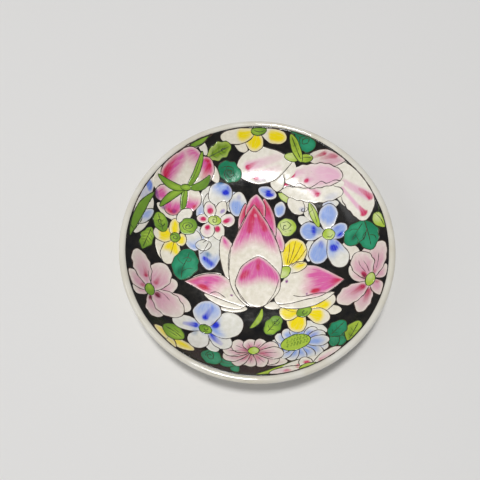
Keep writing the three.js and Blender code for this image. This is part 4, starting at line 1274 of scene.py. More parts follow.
LOWER_SIDE = (
    motif(
        "blue_bloom_lower", BLUE,
        petals((-20.9, -28.4, -16.4, -30.5, 3), paint=LEAF, line=OLIVE, wash=(0.2, 0.9)),
        petals((-18.8, -29, -17.8, -18.6, 10), belly=0.6, wash=(-0.2, 1.1)),
        petals((-17.6, -29.4, -5, -26.8, 9.6), belly=0.55, wash=(0.5, 0.15), crown=1.3),
        petals((-18.6, -29.4, -30.4, -25.9, 5.4), belly=0.6, wash=(0.6, 0.1)),
        petals((-19, -29.4, -22.4, -36.8, 7.4), belly=0.6, wash=(0.3, 0.0)),
        petals((-18.2, -29.8, -9.4, -36, 6), belly=0.6, wash=(0.7, 0.1)),
        fills((-19, -33, -13.8, -37.8, 3.8)),
        comets(DEEP, (-18.7, -24.8, 1.2, -16.6, -21.6), tail_radius=0.8, fade=0.3, soft=0.4),
        comets(DEEP, (-22.2, -28, 1.0, -26.0, -27.6), tail_radius=0.7, fade=0.4, soft=0.4),
        dabs(DEEP, (-15.1, -27.8, 1.5, 1.3), soft=0.4),
        comets(DEEP, (-16.6, -32.2, 1.1, -13, -35), tail_radius=0.7, fade=0.3, soft=0.4),
        dabs(ACCENT, (-22.4, -30.8, 1.0, 1.2), soft=0.7, strength=0.4),
        curl(-18.6, -29.2, 1.2, 1.1, 120, OLIVE),
        brushed((-19.6, -31.0, -18.8, -30.2, -17.4, -30.6), width=0.3),
    ),
    motif(
        "yellow_bloom_lower", YELLOW,
        petals((14.4, -23.9, 19.8, -21.5, 3.4), paint=LEAF, line=OLIVE, wash=(0.2, 0.9)),
        petals((16, -23, 8, -23, 5.6), belly=0.6, wash=(-0.4, 0.1)),
        petals((16.6, -22.8, 12.6, -30.1, 7), belly=0.6, wash=(1.05, 0.9)),
        petals((17.6, -23, 26.2, -25.6, 6), belly=0.6, wash=(0.8, 0.55)),
        petals((17.8, -22.6, 28.6, -17, 6), belly=0.6, wash=(0.8, 0.6)),
        fills((24.5, -22, 30.4, -22.6, 3.4)), curl(17.2, -22.8, 1.1, 1.0, 30, OLIVE),
        brushed((10.0, -21.6, 12.4, -22.6, 14.4, -22.8), width=0.26, paint=OCHRE),
    ),
    motif(
        "leaf_lower_centre", LEAF,
        petals((3, -30.9, 8.6, -24.6, 5.4), wash=(0.9, 0.1), ruffle=0.2),
        veins(3.6, -30.2, 8.2, -25.0, 1.9, 3, OLIVE), curl(6.8, -26.6, 1.2, 0.9, 60, OLIVE), line=OLIVE,
    ),
    motif(
        "stem_lower_centre", LIME,
        petals((1.9, -21.6, -2.6, -28.8, 1.8), bow=1, deep=(0.2, 0.8)),
        brushed((1.6, -21.8, -0.2, -24.2, -1.8, -27.4), width=0.24, paint=OLIVE), line=OLIVE,
    ),
    motif(
        "blue_daisy_disc", LIME,
        petals((8.3, -36, 18.8, -32.8, 5.6)),
        dabs(
            ACCENT,
        *(
            (10.6 + 1.15 * k + 0.35 * (n % 2), -36.1 + 0.85 * n + 0.33 * k, 0.28)
            for n in range(5)
            for k in range(7)
        ),
        soft=0.4,
    ),
        line=OLIVE,
    ),
    motif(
        "plum_blossom_rim", IVORY,
        petals((13.9, -45.1, 20, -43.6, 2.6), paint=LIME, line=OLIVE, wash=(0.2, 0.9)),
        petals((17, -44.8, 15.5, -40.5, 4.4), (17, -44.8, 3.6, -46.6, 3.4)),
        petals((18, -44.4, 29, -37.8, 4.8), belly=0.6), fills((8, -44.6, 27, -40.4, 3.8)),
        petals((-0.8, -47, 14.6, -41.2, 1.6), bow=-0.7, paint=LIME, line=OLIVE, deep=(0.2, 0.8)),
        dabs(DEEP, (10, -45.8, 1.4, 0.8), (13.7, -44.0, 1.0, 0.8), (16.8, -42.6, 1.3, 0.8), soft=0.4),
        comets(DEEP, (21.7, -42.2, 1.1, 24.6, -40.4), tail_radius=0.5, fade=0.25, soft=0.4),
        comets(WASH, (22.4, -41.8, 1.4, 28.0, -38.6), tail_radius=1.2, fade=0.6, soft=0.6),
        comets(WASH, (9.4, -45.8, 1.1, 5.0, -46.4), tail_radius=1.0, fade=0.5, soft=0.6),
    ),
    motif(
        "pink_daisy", DUSTY_ROSE,
        petals((-3.4, -37.6, 0.6, -37.2, 2.6), paint=LIME, line=OLIVE, wash=(0.2, 0.9)),
        daisy(-1.8, -38.4, 11, 5.4, 0, 11, 4.6, wash=(1.1, 0.3), deep=(0.62, 0.05)),
        fills((-11.8, -38.6, 8.4, -38.3, 9.6)), fills((0, -41.4, 10.2, -41.8, 3.2), wash=(1.0, 0.2)),
        dabs(ACCENT, (-1.8, -37.8, 3.0, 1.6), soft=0.6, strength=0.5),
        brushed(
        *(
            (
                -1.8 + 4.2 * math.cos(a), -38.2 + 2.1 * math.sin(a),
                -1.8 + 8.6 * math.cos(a), -38.4 + 4.1 * math.sin(a),
            )
            for a in (math.tau * (k + 0.08) / 11 for k in range(11))
        ),
        width=0.26,
    ),
    ),
    motif(
        "blue_daisy", BLUE,
        daisy(15, -34.9, 10.3, 6.8, 0.12, 15, 4, wash=(1.0, 0.45)),
        fills((5.6, -35.9, 24.4, -33.9, 11.6), (16.8, -26.8, 24.8, -30.6, 3.6)),
        dabs(DEEP, (19.4, -31.4, 2.0, 1.2, 20), soft=0.8, strength=0.4),
        dabs(WASH, (12.0, -31.6, 2.6, 1.4), soft=0.8),
    ),
    motif(
        "yellow_bloom_rim", YELLOW,
        petals((-26, -33.8, -33, -29, 5), paint=LEAF, line=OLIVE, wash=(0.9, 0.1)),
        petals(
            (-31.4, -34.6, -36, -29.6, 3.2), (-32.2, -33.8, -28.6, -38.2, 3.2),
            (-32, -33.8, -22, -38.1, 3.2), wash=(-0.4, 0.1),
        ),
        brushed((-26.6, -33.4, -29.4, -31.2, -32.4, -29.6), paint=OLIVE),
        brushed((-28.0, -33.2, -31.0, -31.4), (-27.4, -31.8, -29.6, -30.0), width=0.26, paint=OLIVE),
    ),
    motif(
        "dark_rosette_lower", DARK_LEAF,
        petals((-19.6, -38.8, -12.6, -42, 5.2), wash=(0.0, 0.8), ruffle=0.2),
        petals((-14, -41.6, -8, -43.2, 3), (-9.4, -42.4, -6.8, -46, 2.8), wash=(0.0, 0.8)),
        curl(-16.6, -40.0, 1.8, 1.5, 0, OLIVE),
        brushed((-13.4, -41.8, -11.0, -42.6, -8.8, -43.0), width=0.26, paint=OLIVE), line=OLIVE,
    ),
    motif(
        "leaves_lower_right", DARK_LEAF,
        petals((25.4, -32.6, 31.2, -27.2, 5.2), wash=(0.0, 0.9), ruffle=0.2),
        petals((31, -35.4, 35.6, -28, 4.8), paint=LIME, deep=(0.9, 0.2), ruffle=0.2),
        petals((25.8, -37, 27.5, -31.6, 3.2), wash=(0.0, 0.9)), petals((29, -32, 33, -31, 3)),
        petals((28.8, -32.5, 28.6, -37, 3.4), wash=(0.0, 0.9)),
        veins(25.8, -32.2, 30.8, -27.6, 1.6, 3, OLIVE), veins(31.4, -34.8, 35.2, -28.6, 1.5, 3, OLIVE),
        line=OLIVE,
    ),
)

MOTIFS = (*LOTUS, *LEFT_SIDE, *UPPER_SIDE, *RIGHT_SIDE, *LOWER_SIDE)


class Shells:
    """Closed shells gathered into one mesh, with the painted layers stored at every point."""

    def __init__(self) -> None:
        """Start with no shells."""
        self.corners: list[np.ndarray] = []
        self.marks: list[np.ndarray] = []
        self.faces: list[list[int]] = []
        self.paints: list[int] = []
        self.count = 0

    def add(
        self, corners: np.ndarray, faces: Sequence[Sequence[int]], paint: int, marks: np.ndarray | None = None
    ) -> None:
        """Add one closed shell.

        Args:
            corners: Its points in millimetres, one per row.
            faces: Its faces as runs of point numbers, anticlockwise from outside.
            paint: The number of its material.
            marks: Wash, deep, accent and the three brush coordinates of each point.
        """
        self.corners.append(corners)
        self.marks.append(np.zeros((len(corners), 6)) if marks is None else marks)
        self.faces.extend([[k + self.count for k in face] for face in faces])
        self.paints.extend([paint] * len(faces))
        self.count += len(corners)

    def build(self, name: str, materials: Sequence[bpy.types.Material]) -> bpy.types.Object:
        """Make the object.

        Args:
            name: Its name.
            materials: Its materials, in the order that the paints are numbered.

        Returns:
            The object, linked to the scene.
        """
        mesh = bpy.data.meshes.new(name)
        corners = np.vstack(self.corners) * MM
        mesh.from_pydata(corners.tolist(), [], self.faces)
        marks = np.vstack(self.marks)
        for column, mark in enumerate(Mark):
            stored = mesh.attributes.new(mark.value, "FLOAT", "POINT")
            stored.data.foreach_set("value", np.clip(marks[:, column], 0, 1).astype(np.float32))
        brush = mesh.attributes.new("brush", "FLOAT_VECTOR", "POINT")
        brush.data.foreach_set("vector", marks[:, 3:6].astype(np.float32).ravel())
        for material in materials:
            mesh.materials.append(material)
        mesh.polygons.foreach_set("material_index", self.paints)
        mesh.polygons.foreach_set("use_smooth", [True] * len(self.faces))
        mesh.update()
        made = bpy.data.objects.new(name, mesh)
        bpy.context.scene.collection.objects.link(made)
        return made


def finish_piece(made: bpy.types.Object, node: str, slot: str) -> bpy.types.Object:
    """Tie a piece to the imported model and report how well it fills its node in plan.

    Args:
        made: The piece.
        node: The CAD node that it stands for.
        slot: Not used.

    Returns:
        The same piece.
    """
    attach(made, ROOT_BODY)
    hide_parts(node)
    low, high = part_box(node)
    off = 0.0
    for k in (0, 1):
        places = [vertex.co[k] for vertex in made.data.vertices]
        off = max(off, abs(min(places) - low[k]), abs(max(places) - high[k]))
    faces = len(made.data.polygons)
    LOG.info("%s: %d faces, within %.2f mm of its CAD node in plan", made.name, faces, off / MM)
    return made


@dataclass
class PorcelainBody:
    """The thrown body with its foot ring, glazed all over but for the face that it stands on.

    The throwing leaves the outside slightly out of round and faintly grooved. Lengths in millimetres.
    """

    form: DishForm
    turns: int = 256
    inside_steps: int = 46
    bend_steps: int = 28
    lip_steps: int = 28
    unevenness: float = 0.03
    groove: float = 0.02
    # The uneven outside is drawn in by this, so that it never stands proud of the CAD body.
    drawn_in: float = 0.05
    # The outside stays true over this much below the top.
    true_lip: float = 1.0
    wiped_height: float = 0.35
    # How far out from the root of the foot ring the fillet to the wall begins.
    fillet: float = 0.9

    def profile(self) -> np.ndarray:
        """The section from the middle of the floor over the lip and down to the middle of the underside.

        Returns:
            Its points, distance from the axis and height, one per row.
        """
        form = self.form
        inner = np.linspace(0.0, form.wall_top[0], self.inside_steps)
        inside = np.column_stack([inner, form.inside(inner)])
        lip_x, lip_z = form.lip
        over = np.linspace(math.pi / 2 + form.slope, form.slope - math.pi / 2, self.lip_steps)[1:-1]
        lip = np.array(form.lip) + form.lip_radius * np.column_stack([np.cos(over), np.sin(over)])
        bend_x, bend_z = form.bend_centre
        outer = form.bend_radius + form.wall
        root = form.foot_radius + form.foot_draft
        start = form.slope - math.pi / 2
        end = math.asin((root + self.fillet - bend_x) / outer) - math.pi / 2
        sweep = np.linspace(start, end, self.bend_steps)
        wall = np.column_stack([bend_x + outer * np.cos(sweep), bend_z + outer * np.sin(sweep)])
        level = bend_z - math.sqrt(outer**2 - (root - bend_x) ** 2)
        return np.vstack([inside, lip, wall, self._foot(root, level)])

    def _foot(self, root: float, level: float) -> np.ndarray:
        """The foot ring and the underside.

        Args:
            root: Radius of the ring's outer side where it leaves the wall.
            level: Height of that place.

        Returns:
            Points of the section, outermost first.
        """
        form, edge, recess = self.form, self.form.foot_edge, self.form.foot_recess
        outside, inside = form.foot_radius, form.foot_radius - form.foot_width
        top = inside - form.foot_draft
        corner = np.linspace(0, math.pi / 2, 5)
        filleted = [(root + 0.35, level - 0.12), (root + 0.08, level - 0.45), (root - 0.1, level - 1.0)]
        outer_edge = [(outside - edge + edge * math.cos(a), edge - edge * math.sin(a)) for a in corner]
        inner_edge = [(inside + edge - edge * math.sin(a), edge - edge * math.cos(a)) for a in corner]
        hollow = [(top + x, recess - z) for x, z in ((0.1, 0.9), (-0.1, 0.35), (-0.5, 0.07), (-1.1, 0.0))]
        centre = [(radius, recess) for radius in (18.0, 12.0, 6.0, 1.5, 0.0)]
        return np.array([*filleted, *outer_edge, *inner_edge, *hollow, *centre])

    def _ring(self, place: int, radius: float, height: float, angles: np.ndarray) -> np.ndarray:
        """One turn of the body, uneven where it lies on the outside.

        Args:
            place: The number of the section's point.
            radius: Its distance from the axis.
            height: Its height.
            angles: The angles round the turn.

        Returns:
            The points of the turn, one per row.
        """
        past_the_top = place > self.inside_steps + self.lip_steps // 2
        reach = np.full(self.turns, radius)
        if past_the_top and radius > self.form.foot_radius and height < self.form.height - self.true_lip:
            sway = self.unevenness * (np.sin(3 * angles + height / 4) + 0.6 * np.sin(7 * angles + height))
            reach = radius + sway - self.drawn_in + self.groove * math.sin(height * 3.1)
        reach = np.minimum(reach, self.form.rim_radius)
        return np.column_stack([reach * np.cos(angles), reach * np.sin(angles), np.full(self.turns, height)])

    def build(self) -> bpy.types.Object:
        """Turn the section into the body and dress it.

        Returns:
            The body.
        """
        section = self.profile()
        angles = np.linspace(0, math.tau, self.turns, endpoint=False)
        rings = len(section) - 2
        body = [self._ring(k, *section[k], angles) for k in range(1, rings + 1)]
        corners = np.vstack([[[0, 0, section[0][1]]], *body, [[0, 0, section[-1][1]]]])
        bare = [int((section[k + 1] + section[k + 2])[1] / 2 < self.wiped_height) for k in range(rings - 1)]
        last, end = 1 + rings * self.turns, 1 + (rings - 1) * self.turns
        faces, paints = [], []
        for j in range(self.turns):
            after = (j + 1) % self.turns
            faces.append([0, 1 + j, 1 + after])
            for k in range(rings - 1):
                a, b = 1 + k * self.turns, 1 + (k + 1) * self.turns
                faces.append([a + j, b + j, b + after, a + after])
            faces.append([end + j, last, end + after])
            paints.extend([0, *bare, 0])
        shells = Shells()
        shells.add(corners, faces, 0)
        shells.paints = paints
        made = shells.build("porcelain_thrown_body", [GLAZE.make(), BISCUIT.make()])
        return finish_piece(made, "porcelain_body", "porcelain")


@dataclass
class BlackGround:
    """The black enamel laid over the inside of the dish, up to the bare lip. Lengths in millimetres."""

    form: DishForm
    top: float = 0.22
    bottom: float = 0.04
    rings: int = 110
    turns: int = 300
    # Height of the brush's ripples.
    brushed: float = 0.004
    # How far the edge lies in from the CAD edge on average, how far it wanders and the least it lies in.
    edge_in: float = 0.22
    edge_wander: float = 0.07
    edge_least: float = 0.02
    # Share of the skin's height left at its thin edge.
    edge_share: float = 0.6
    seed: int = 7

    def build(self) -> bpy.types.Object:
        """Make the skin, rippled where the brush left it and uneven at its edge.

        Returns:
            The black ground.
        """
        rng = np.random.default_rng(self.seed)
        angles = np.linspace(0, math.tau, self.turns, endpoint=False)
        waves = sum(np.sin(n * angles + rng.uniform(0, math.tau)) / n**0.5 for n in (3, 7, 13, 29, 47))
        edge = self.form.painted_radius - self.edge_in + self.edge_wander * waves
        edge = np.minimum(edge, self.form.painted_radius - self.edge_least)
        tops, bottoms = [], []
        for share in np.linspace(0, 1, self.rings + 1)[1:]:
            plan = np.column_stack([edge * share * np.cos(angles), edge * share * np.sin(angles)])
            x, y = plan.T
            ripple = self.brushed * (np.sin(x * 2.1 + 3 * np.sin(y * 0.9)) + np.sin(y * 2.7))
            thinned = 1.0 if share < 1 else self.edge_share
            tops.append(self.form.on_inside(plan, self.top * thinned + ripple * thinned))
            bottoms.append(self.form.on_inside(plan, np.full(self.turns, self.bottom)))
        centre = self.form.floor_middle
        corners = np.vstack([[[0, 0, centre + self.top]], *tops, *bottoms, [[0, 0, centre + self.bottom]]])
        shells = Shells()
        shells.add(corners, self._faces(), 0)
        made = shells.build("black_enamel_ground", [BLACK_ENAMEL.make()])
        return finish_piece(made, "black_ground_enamel", "black_enamel")

    def _faces(self) -> list[list[int]]:
        """Faces of the skin: a top and an underside of rings round a middle point, joined at the edge.

        Returns:
            The faces as runs of point numbers.
        """
        n, m = self.rings, self.turns
        under, last = 1 + n * m, 1 + 2 * n * m
        faces = []
        for j in range(m):
            after = (j + 1) % m
            faces.append([0, 1 + j, 1 + after])
            faces.append([last, under + after, under + j])
            for k in range(n - 1):
                a, b = 1 + k * m, 1 + (k + 1) * m
                faces.append([a + j, b + j, b + after, a + after])
                a, b = under + k * m, under + (k + 1) * m
                faces.append([a + j, a + after, b + after, b + j])
            a, b = 1 + (n - 1) * m, under + (n - 1) * m
            faces.append([a + j, b + j, b + after, a + after])
        return faces


@dataclass
class FlowerPainting:
    """The flowers, leaves and buds, fired on over the black ground, those in front first.

    Lengths in millimetres; heights are over the porcelain. The real relief is a few hundredths of a
    millimetre, and it is drawn about twice as high so that it shows.
    """

    form: DishForm
    motifs: tuple[Motif, ...]
    # Spacing of the points on a petal, and of those on its outline and along a brushed line.
    pitch: float = 0.36
    outline_pitch: float = 0.5
    edge_pitch: float = 0.45
    line_pitch: float = 0.4
    under_pitch: float = 2.4
    # Height of a petal's edge, how much its middle stands over that, and how wide its rounded edge is.
    edge_lift: float = 0.27
    relief: float = 0.055
    rim_slope: float = 0.8
    # Height that a petal dips to under those in front, and that its underside lies at.
    buried: float = 0.1
    foot: float = 0.07
    # Height of the black ground between the flowers.
    ground_lift: float = 0.24
    line_height: float = 0.04
    line_root: float = 0.08
    outline_width: float = 0.44
    shortest_outline: int = 4
    # Width of the band at a petal's edge where wash and deep thin out, and the share lost at the very edge.
    pale_edge: float = 1.6
    paleness: float = 0.7

    def __post_init__(self) -> None:
        """List every petal front first, with its outline and box."""
        self.scale = self.form.painted_radius / DRAWN_RADIUS
        self.order: list[tuple[Petal, np.ndarray, np.ndarray, np.ndarray]] = []
        for motif in self.motifs:
            for one in motif.petals:
                outline = one.outline(self.outline_pitch)
                self.order.append((one, outline, outline.min(0), outline.max(0)))

    def covered(self, rank: int, plan: np.ndarray) -> np.ndarray:
        """How far points lie inside the petals in front of one.

        Args:
            rank: The petal's place in the order.
            plan: Points in plan, one per row.

        Returns:
            The greatest depth inside any of them, negative outside them all.
        """
        depth = np.full(len(plan), FAR_OUTSIDE)
        low, high = plan.min(0) - 1, plan.max(0) + 1
        for _, outline, first, last in self.order[:rank]:
            if (first > high).any() or (last < low).any():
                continue
            near = ((plan > first - 1) & (plan < last + 1)).all(1)
            if near.any():
                depth[near] = np.maximum(depth[near], signed_depth(outline, plan[near]))
        return depth

    def top_lift(self, one: Petal, depth: np.ndarray, covered: np.ndarray) -> np.ndarray:
        """Height of a petal's surface over the porcelain.

        Args:
            one: The petal.
            depth: Distance of each point from the petal's edge.
            covered: How far each point lies inside the petals in front.

        Returns:
            The heights.
        """
        round_over = 1 - np.clip(1 - depth / self.rim_slope, 0, 1) ** 2
        own = self.edge_lift + self.relief * one.crown * round_over
        dip = np.interp(covered, [-0.4, -0.05, 0.3], [0.6, self.edge_lift - 0.01, self.buried])
        return np.minimum(own, dip)

    def surface_lift(self, plan: np.ndarray) -> np.ndarray:
        """Height of the whole painting over the porcelain.

        Args:
            plan: Points in plan, one per row.

        Returns:
            The heights.
        """
        lift = np.full(len(plan), self.ground_lift)
        open_still = np.ones(len(plan), bool)
        for one, outline, first, last in self.order:
            near = open_still & ((plan > first) & (plan < last)).all(1)
            if not near.any():
                continue
            depth = signed_depth(outline, plan[near])
            inside = depth > 0
            places = np.flatnonzero(near)[inside]
            lift[places] = self.top_lift(one, depth[inside], np.full(inside.sum(), FAR_OUTSIDE))
            open_still[places] = False
        return lift

    def add_petal(self, shells: Shells, motif: Motif, one: Petal, rank: int, paint: int) -> None:
        """Add a petal as a closed shell that follows the dish and dips under the petals in front.

        Args:
            shells: What it is added to.
            motif: The motif that it belongs to.
            one: The petal.
            rank: Its place in the order.
            paint: The number of its material.
        """
        rows = max(6, math.ceil(one.length / self.pitch))
        columns = max(4, math.ceil(one.width / self.pitch))
        under_columns = max(2, math.ceil(one.width / self.under_pitch))
        inner = along_spine(rows)[1:-1]
        top_t, top_v = np.meshgrid(inner, np.linspace(-1, 1, columns + 1), indexing="ij")
        low_t, low_v = np.meshgrid(inner, np.linspace(-1, 1, under_columns + 1), indexing="ij")
        all_t = np.concatenate([[0.0], top_t.ravel(), [1.0], [0.0], low_t.ravel(), [1.0]])
        all_v = np.concatenate([[0.0], top_v.ravel(), [0.0], [0.0], low_v.ravel(), [0.0]])
        plan = one.points(all_t, all_v)
        tops = 2 + top_t.size
        depth = np.maximum(signed_depth(self.order[rank][1], plan[:tops]), 0)
        lift = np.full(len(plan), self.foot)
        lift[:tops] = self.top_lift(one, depth, self.covered(rank, plan[:tops]))
        corners = self.form.on_inside(plan * self.scale, lift)
        marks = self.marks_of(motif, one, plan, all_t, all_v)
        pale = np.zeros(len(plan))
        pale[:tops] = smoothstep(0.0, self.pale_edge, depth)
        marks[:, :2] *= (1 - self.paleness * (1 - pale))[:, None]
        shells.add(corners, self.shell_faces(rows, columns, under_columns), paint, marks)

    @staticmethod
    def shell_faces(rows: int, columns: int, under: int) -> list[list[int]]:
        """Faces of a closed petal: a top and an under grid that share their rows, each with its end points.

        Args:
            rows: Steps from root to tip.
            columns: Steps across the top.
            under: Steps across the underside.

        Returns:
            The faces as runs of point numbers.
        """
        wide, narrow = columns + 1, under + 1
        tip = 1 + (rows - 1) * wide
        low_root = tip + 1
        low_tip = low_root + 1 + (rows - 1) * narrow

        def top(i: int, j: int) -> int:
            """Number of a top point; rows count from 1."""
            return 1 + (i - 1) * wide + j

        def low(i: int, j: int) -> int:
            """Number of an under point; rows count from 1."""
            return low_root + 1 + (i - 1) * narrow + j

        faces = []
        for j in range(columns):
            faces.append([0, top(1, j), top(1, j + 1)])
            faces.append([top(rows - 1, j), tip, top(rows - 1, j + 1)])
        for j in range(under):
            faces.append([low_root, low(1, j + 1), low(1, j)])
            faces.append([low(rows - 1, j), low(rows - 1, j + 1), low_tip])
        for i in range(1, rows - 1):
            faces.extend([top(i, j), top(i + 1, j), top(i + 1, j + 1), top(i, j + 1)] for j in range(columns))
            faces.extend([low(i, j), low(i, j + 1), low(i + 1, j + 1), low(i + 1, j)] for j in range(under))
            faces.append([low(i, 0), low(i + 1, 0), top(i + 1, 0), top(i, 0)])
            faces.append([low(i + 1, under), low(i, under), top(i, columns), top(i + 1, columns)])
        end = rows - 1
        faces.append([low_root, low(1, 0), top(1, 0), 0])
        faces.append([low(1, under), low_root, 0, top(1, columns)])
        faces.append([low(end, 0), low_tip, tip, top(end, 0)])
        faces.append([low_tip, low(end, under), top(end, columns), tip])
        return faces

    @staticmethod
    def marks_of(motif: Motif, one: Petal, plan: np.ndarray, t: np.ndarray, across: np.ndarray) -> np.ndarray:
        """The painted layers and brush coordinates at a petal's points.

        Args:
            motif: The motif, whose strokes cross all its petals.
            one: The petal.
            plan: Its points in plan.
            t: Their places along the spine.
            across: Their places across.

        Returns:
            Wash, deep, accent and three brush coordinates, one row per point.
        """
        marks = np.zeros((len(plan), 6))
        for column, span in enumerate((one.wash, one.deep)):
            if span:
                marks[:, column] = smoothstep(*span, t + 0.05 * np.sin(3.1 * across + one.seed))
        if one.paint is None or one.paint is motif.paint:
            for stroke in motif.strokes:
                column = list(Mark).index(stroke.mark)
                cover = stroke.cover(plan)
                if stroke.strength < 0:
                    marks[:, column] *= 1 + cover
                else:
                    marks[:, column] = np.maximum(marks[:, column], cover)
        streak_length, streak_width = Enamel.STREAK
        marks[:, 3] = t * one.length / streak_length
        marks[:, 4] = across * one.width / 2 / streak_width
        marks[:, 5] = one.seed * 5
        return marks

    def add_line(
        self, shells: Shells, path: np.ndarray, width: float, paint: int, lift: np.ndarray, seed: float
    ) -> None:
        """Add a brushed line as a closed low ridge, thicker and thinner with the brush and thin at its ends.

        Args:
            shells: What it is added to.
            path: Its points in plan, one per row.
            width: Its middle width.
            paint: The number of its material.
            lift: Height of the surface under each point.
            seed: A number for its unevenness.
        """
        run = np.gradient(path, axis=0)
        run /= np.maximum(np.linalg.norm(run, axis=1, keepdims=True), TINY)
        aside = np.column_stack([-run[:, 1], run[:, 0]])
        place = np.concatenate([[0], np.cumsum(np.linalg.norm(np.diff(path, axis=0), axis=1))])
        pressure = 1 + 0.22 * np.sin(place * 1.3 + seed) + 0.14 * np.sin(place * 3.7 + 2 * seed)
        taper = np.clip(np.minimum(place, place[-1] - place) / 0.8, 0, 1)
        half = width / 2 * pressure * (0.35 + 0.65 * taper)
        sides = [np.full(len(path), -self.line_root)]
        crown = [self.line_height * rise * (0.5 + 0.5 * taper) for rise in (0.7, 1.0, 0.7)]
        rises = [*sides, *crown, *sides]
        shares = (-1.0, -0.6, 0.0, 0.6, 1.0)
        sections = [
            self.form.on_inside((path + aside * (half * share)[:, None]) * self.scale, lift + rise)
            for share, rise in zip(shares, rises)
        ]
        count, n = len(path), len(shares)
        corners = np.stack(sections, axis=1).reshape(-1, 3)
        faces = [
            [i * n + c, (i + 1) * n + c, (i + 1) * n + (c + 1) % n, i * n + (c + 1) % n]
            for i in range(count - 1)
            for c in range(n)
        ]
        faces.append(list(range(n)))
        faces.append([(count - 1) * n + c for c in reversed(range(n))])
        shells.add(corners, faces, paint)

    def add_outline(self, shells: Shells, one: Petal, rank: int, paint: int) -> None:
        """Draw a petal's edge wherever no petal in front hides it.

        Args:
            shells: What it is added to.
            one: The petal.
            rank: Its place in the order.
            paint: The number of its line material.
        """
        edge = one.outline(self.edge_pitch)
        edge = np.vstack([edge, edge[:1]])
        shown = self.covered(rank, edge) < 0.05
        start = None
        for k in range(len(edge) + 1):
            visible = k < len(edge) and shown[k]
            if visible and start is None:
                start = k
            if not visible and start is not None:
                path = edge[start:k]
                if len(path) >= self.shortest_outline:
                    lift = np.full(len(path), self.edge_lift)
                    self.add_line(shells, path, self.outline_width, paint, lift, one.seed + start)
                start = None

    def build(self) -> list[bpy.types.Object]:
        """Make every motif and dress it.

        Returns:
            The motifs' pieces.
        """
        ready: dict[str, bpy.types.Material] = {}
        made, rank = [], 0
        for motif in self.motifs:
            finishes: list[Enamel | Fired] = [motif.paint]

            def number(finish: Enamel | Fired) -> int:
                """The finish's number among the motif's materials.

                Args:
                    finish: The finish, added to them if it is new.

                Returns:
                    Its number.
                """
                if finish not in finishes:
                    finishes.append(finish)
                return finishes.index(finish)

            shells = Shells()
            for one in motif.petals:
                self.add_petal(shells, motif, one, rank, number(one.paint or motif.paint))
                if one.outlined:
                    self.add_outline(shells, one, rank, number(one.line or motif.line))
                rank += 1
            for k, drawn in enumerate(motif.lines):
                path = drawn_in(through(drawn.points, self.line_pitch))
                paint = number(drawn.paint or motif.line)
                self.add_line(shells, path, drawn.width, paint, self.surface_lift(path), k)
            for finish in finishes:
                if finish.name not in ready:
                    ready[finish.name] = finish.make()
            piece = shells.build(f"{motif.node}_enamel", [ready[finish.name] for finish in finishes])
            made.append(finish_piece(piece, motif.node, motif.paint.slot))
        return made


@dataclass(frozen=True)
class Lamp:
    """A square soft lamp. Lengths in metres, power in watts."""

    name: str
    place: Place
    side: float
    power: float

    def hang(self, aim: Place) -> None:
        """Hang the lamp.

        Args:
            aim: The point that it faces.
        """
        data = bpy.data.lights.new(self.name, "AREA")
        data.shape = "SQUARE"
        data.size = self.side
        data.energy = self.power
        lamp = bpy.data.objects.new(self.name, data)
        lamp.location = self.place
        towards = Vector(aim) - Vector(self.place)
        lamp.rotation_euler = towards.to_track_quat("-Z", "Y").to_euler()
        bpy.context.scene.collection.objects.link(lamp)


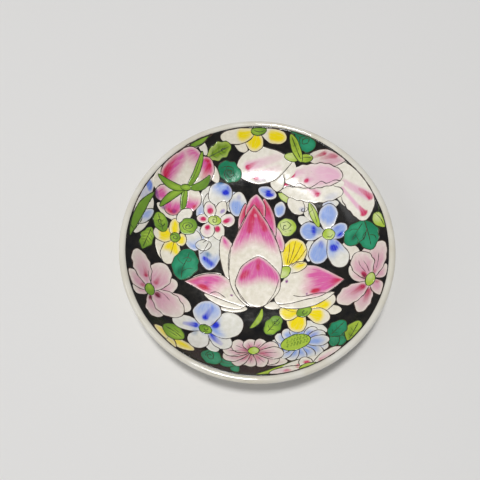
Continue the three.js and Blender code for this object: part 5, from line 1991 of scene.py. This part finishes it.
@dataclass
class Studio:
    """A pale floor, soft studio light and the camera. Lengths in metres, but for the lens, in millimetres."""

    lamps: tuple[Lamp, ...] = (
        Lamp("overhead_softbox", (-0.06, -0.01, 1.31), 0.16, 10.0),
        Lamp("side_softbox", (-0.9, -0.3, 0.8), 0.8, 2.5),
    )
    aim: Place = (0.0, 0.0, 0.01)
    sky: Colour = (0.86, 0.9, 1.0, 1.0)
    sky_strength: float = 0.22
    floor_side: float = 3.0
    floor_depth: float = 0.01
    camera_at: Place = (-0.006225, -0.08155, 0.25538)
    camera_tilt: float = math.radians(19.345)
    lens: float = 51.87
    sensor: float = 36.0
    nearest: float = 0.01

    def build(self) -> None:
        """Make the floor, the lamps, the sky and the camera."""
        self._floor()
        for lamp in self.lamps:
            lamp.hang(self.aim)
        world = bpy.data.worlds.new("studio_sky")
        world.use_nodes = True
        sky = world.node_tree.nodes["Background"]
        sky.inputs["Color"].default_value = self.sky
        sky.inputs["Strength"].default_value = self.sky_strength
        bpy.context.scene.world = world
        bpy.context.scene.view_settings.view_transform = "Standard"
        self._camera()

    def _floor(self) -> None:
        """Make the floor: a broad slab of pale matt board."""
        half = self.floor_side / 2
        plan = ((-half, -half), (half, -half), (half, half), (-half, half))
        corners = [(x, y, z) for z in (-self.floor_depth, 0.0) for x, y in plan]
        sides = [(k, (k + 1) % 4, (k + 1) % 4 + 4, k + 4) for k in range(4)]
        mesh = bpy.data.meshes.new("studio_floor")
        mesh.from_pydata(corners, [], [(3, 2, 1, 0), (4, 5, 6, 7), *sides])
        material, tree = new_material("pale_matt_board")
        board = {"Base Color": linear("E8E6E2"), "Roughness": 0.85}
        shader = add_node(tree, "ShaderNodeBsdfPrincipled", board)
        add_node(tree, "ShaderNodeOutputMaterial", None, {"Surface": shader.outputs["BSDF"]})
        mesh.materials.append(material)
        floor = bpy.data.objects.new("studio_floor", mesh)
        bpy.context.scene.collection.objects.link(floor)

    def _camera(self) -> None:
        """Set the camera up at the viewing angle."""
        data = bpy.data.cameras.new("main_camera")
        data.sensor_width = self.sensor
        data.lens = self.lens
        data.clip_start = self.nearest
        camera = bpy.data.objects.new("main_camera", data)
        camera.location = self.camera_at
        camera.rotation_euler = (self.camera_tilt, 0.0, 0.0)
        bpy.context.scene.collection.objects.link(camera)
        bpy.context.scene.camera = camera


def main() -> None:
    """Build the dish, then the studio."""
    logging.basicConfig(level=logging.INFO, format="%(message)s")
    low, high = CAD_BOUNDS
    ground_low, ground_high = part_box("black_ground_enamel")
    form = DishForm(
        rim_radius=(high.x - low.x) / 2 / MM,
        height=(high.z - low.z) / MM,
        painted_radius=ground_high.x / MM,
        floor_middle=ground_low.z / MM - LAYER_GAP,
    )
    PorcelainBody(form).build()
    BlackGround(form).build()
    pieces = FlowerPainting(form, MOTIFS).build()
    LOG.info("%d motifs painted", len(pieces))
    Studio().build()


if __name__ == "__main__":
    main()
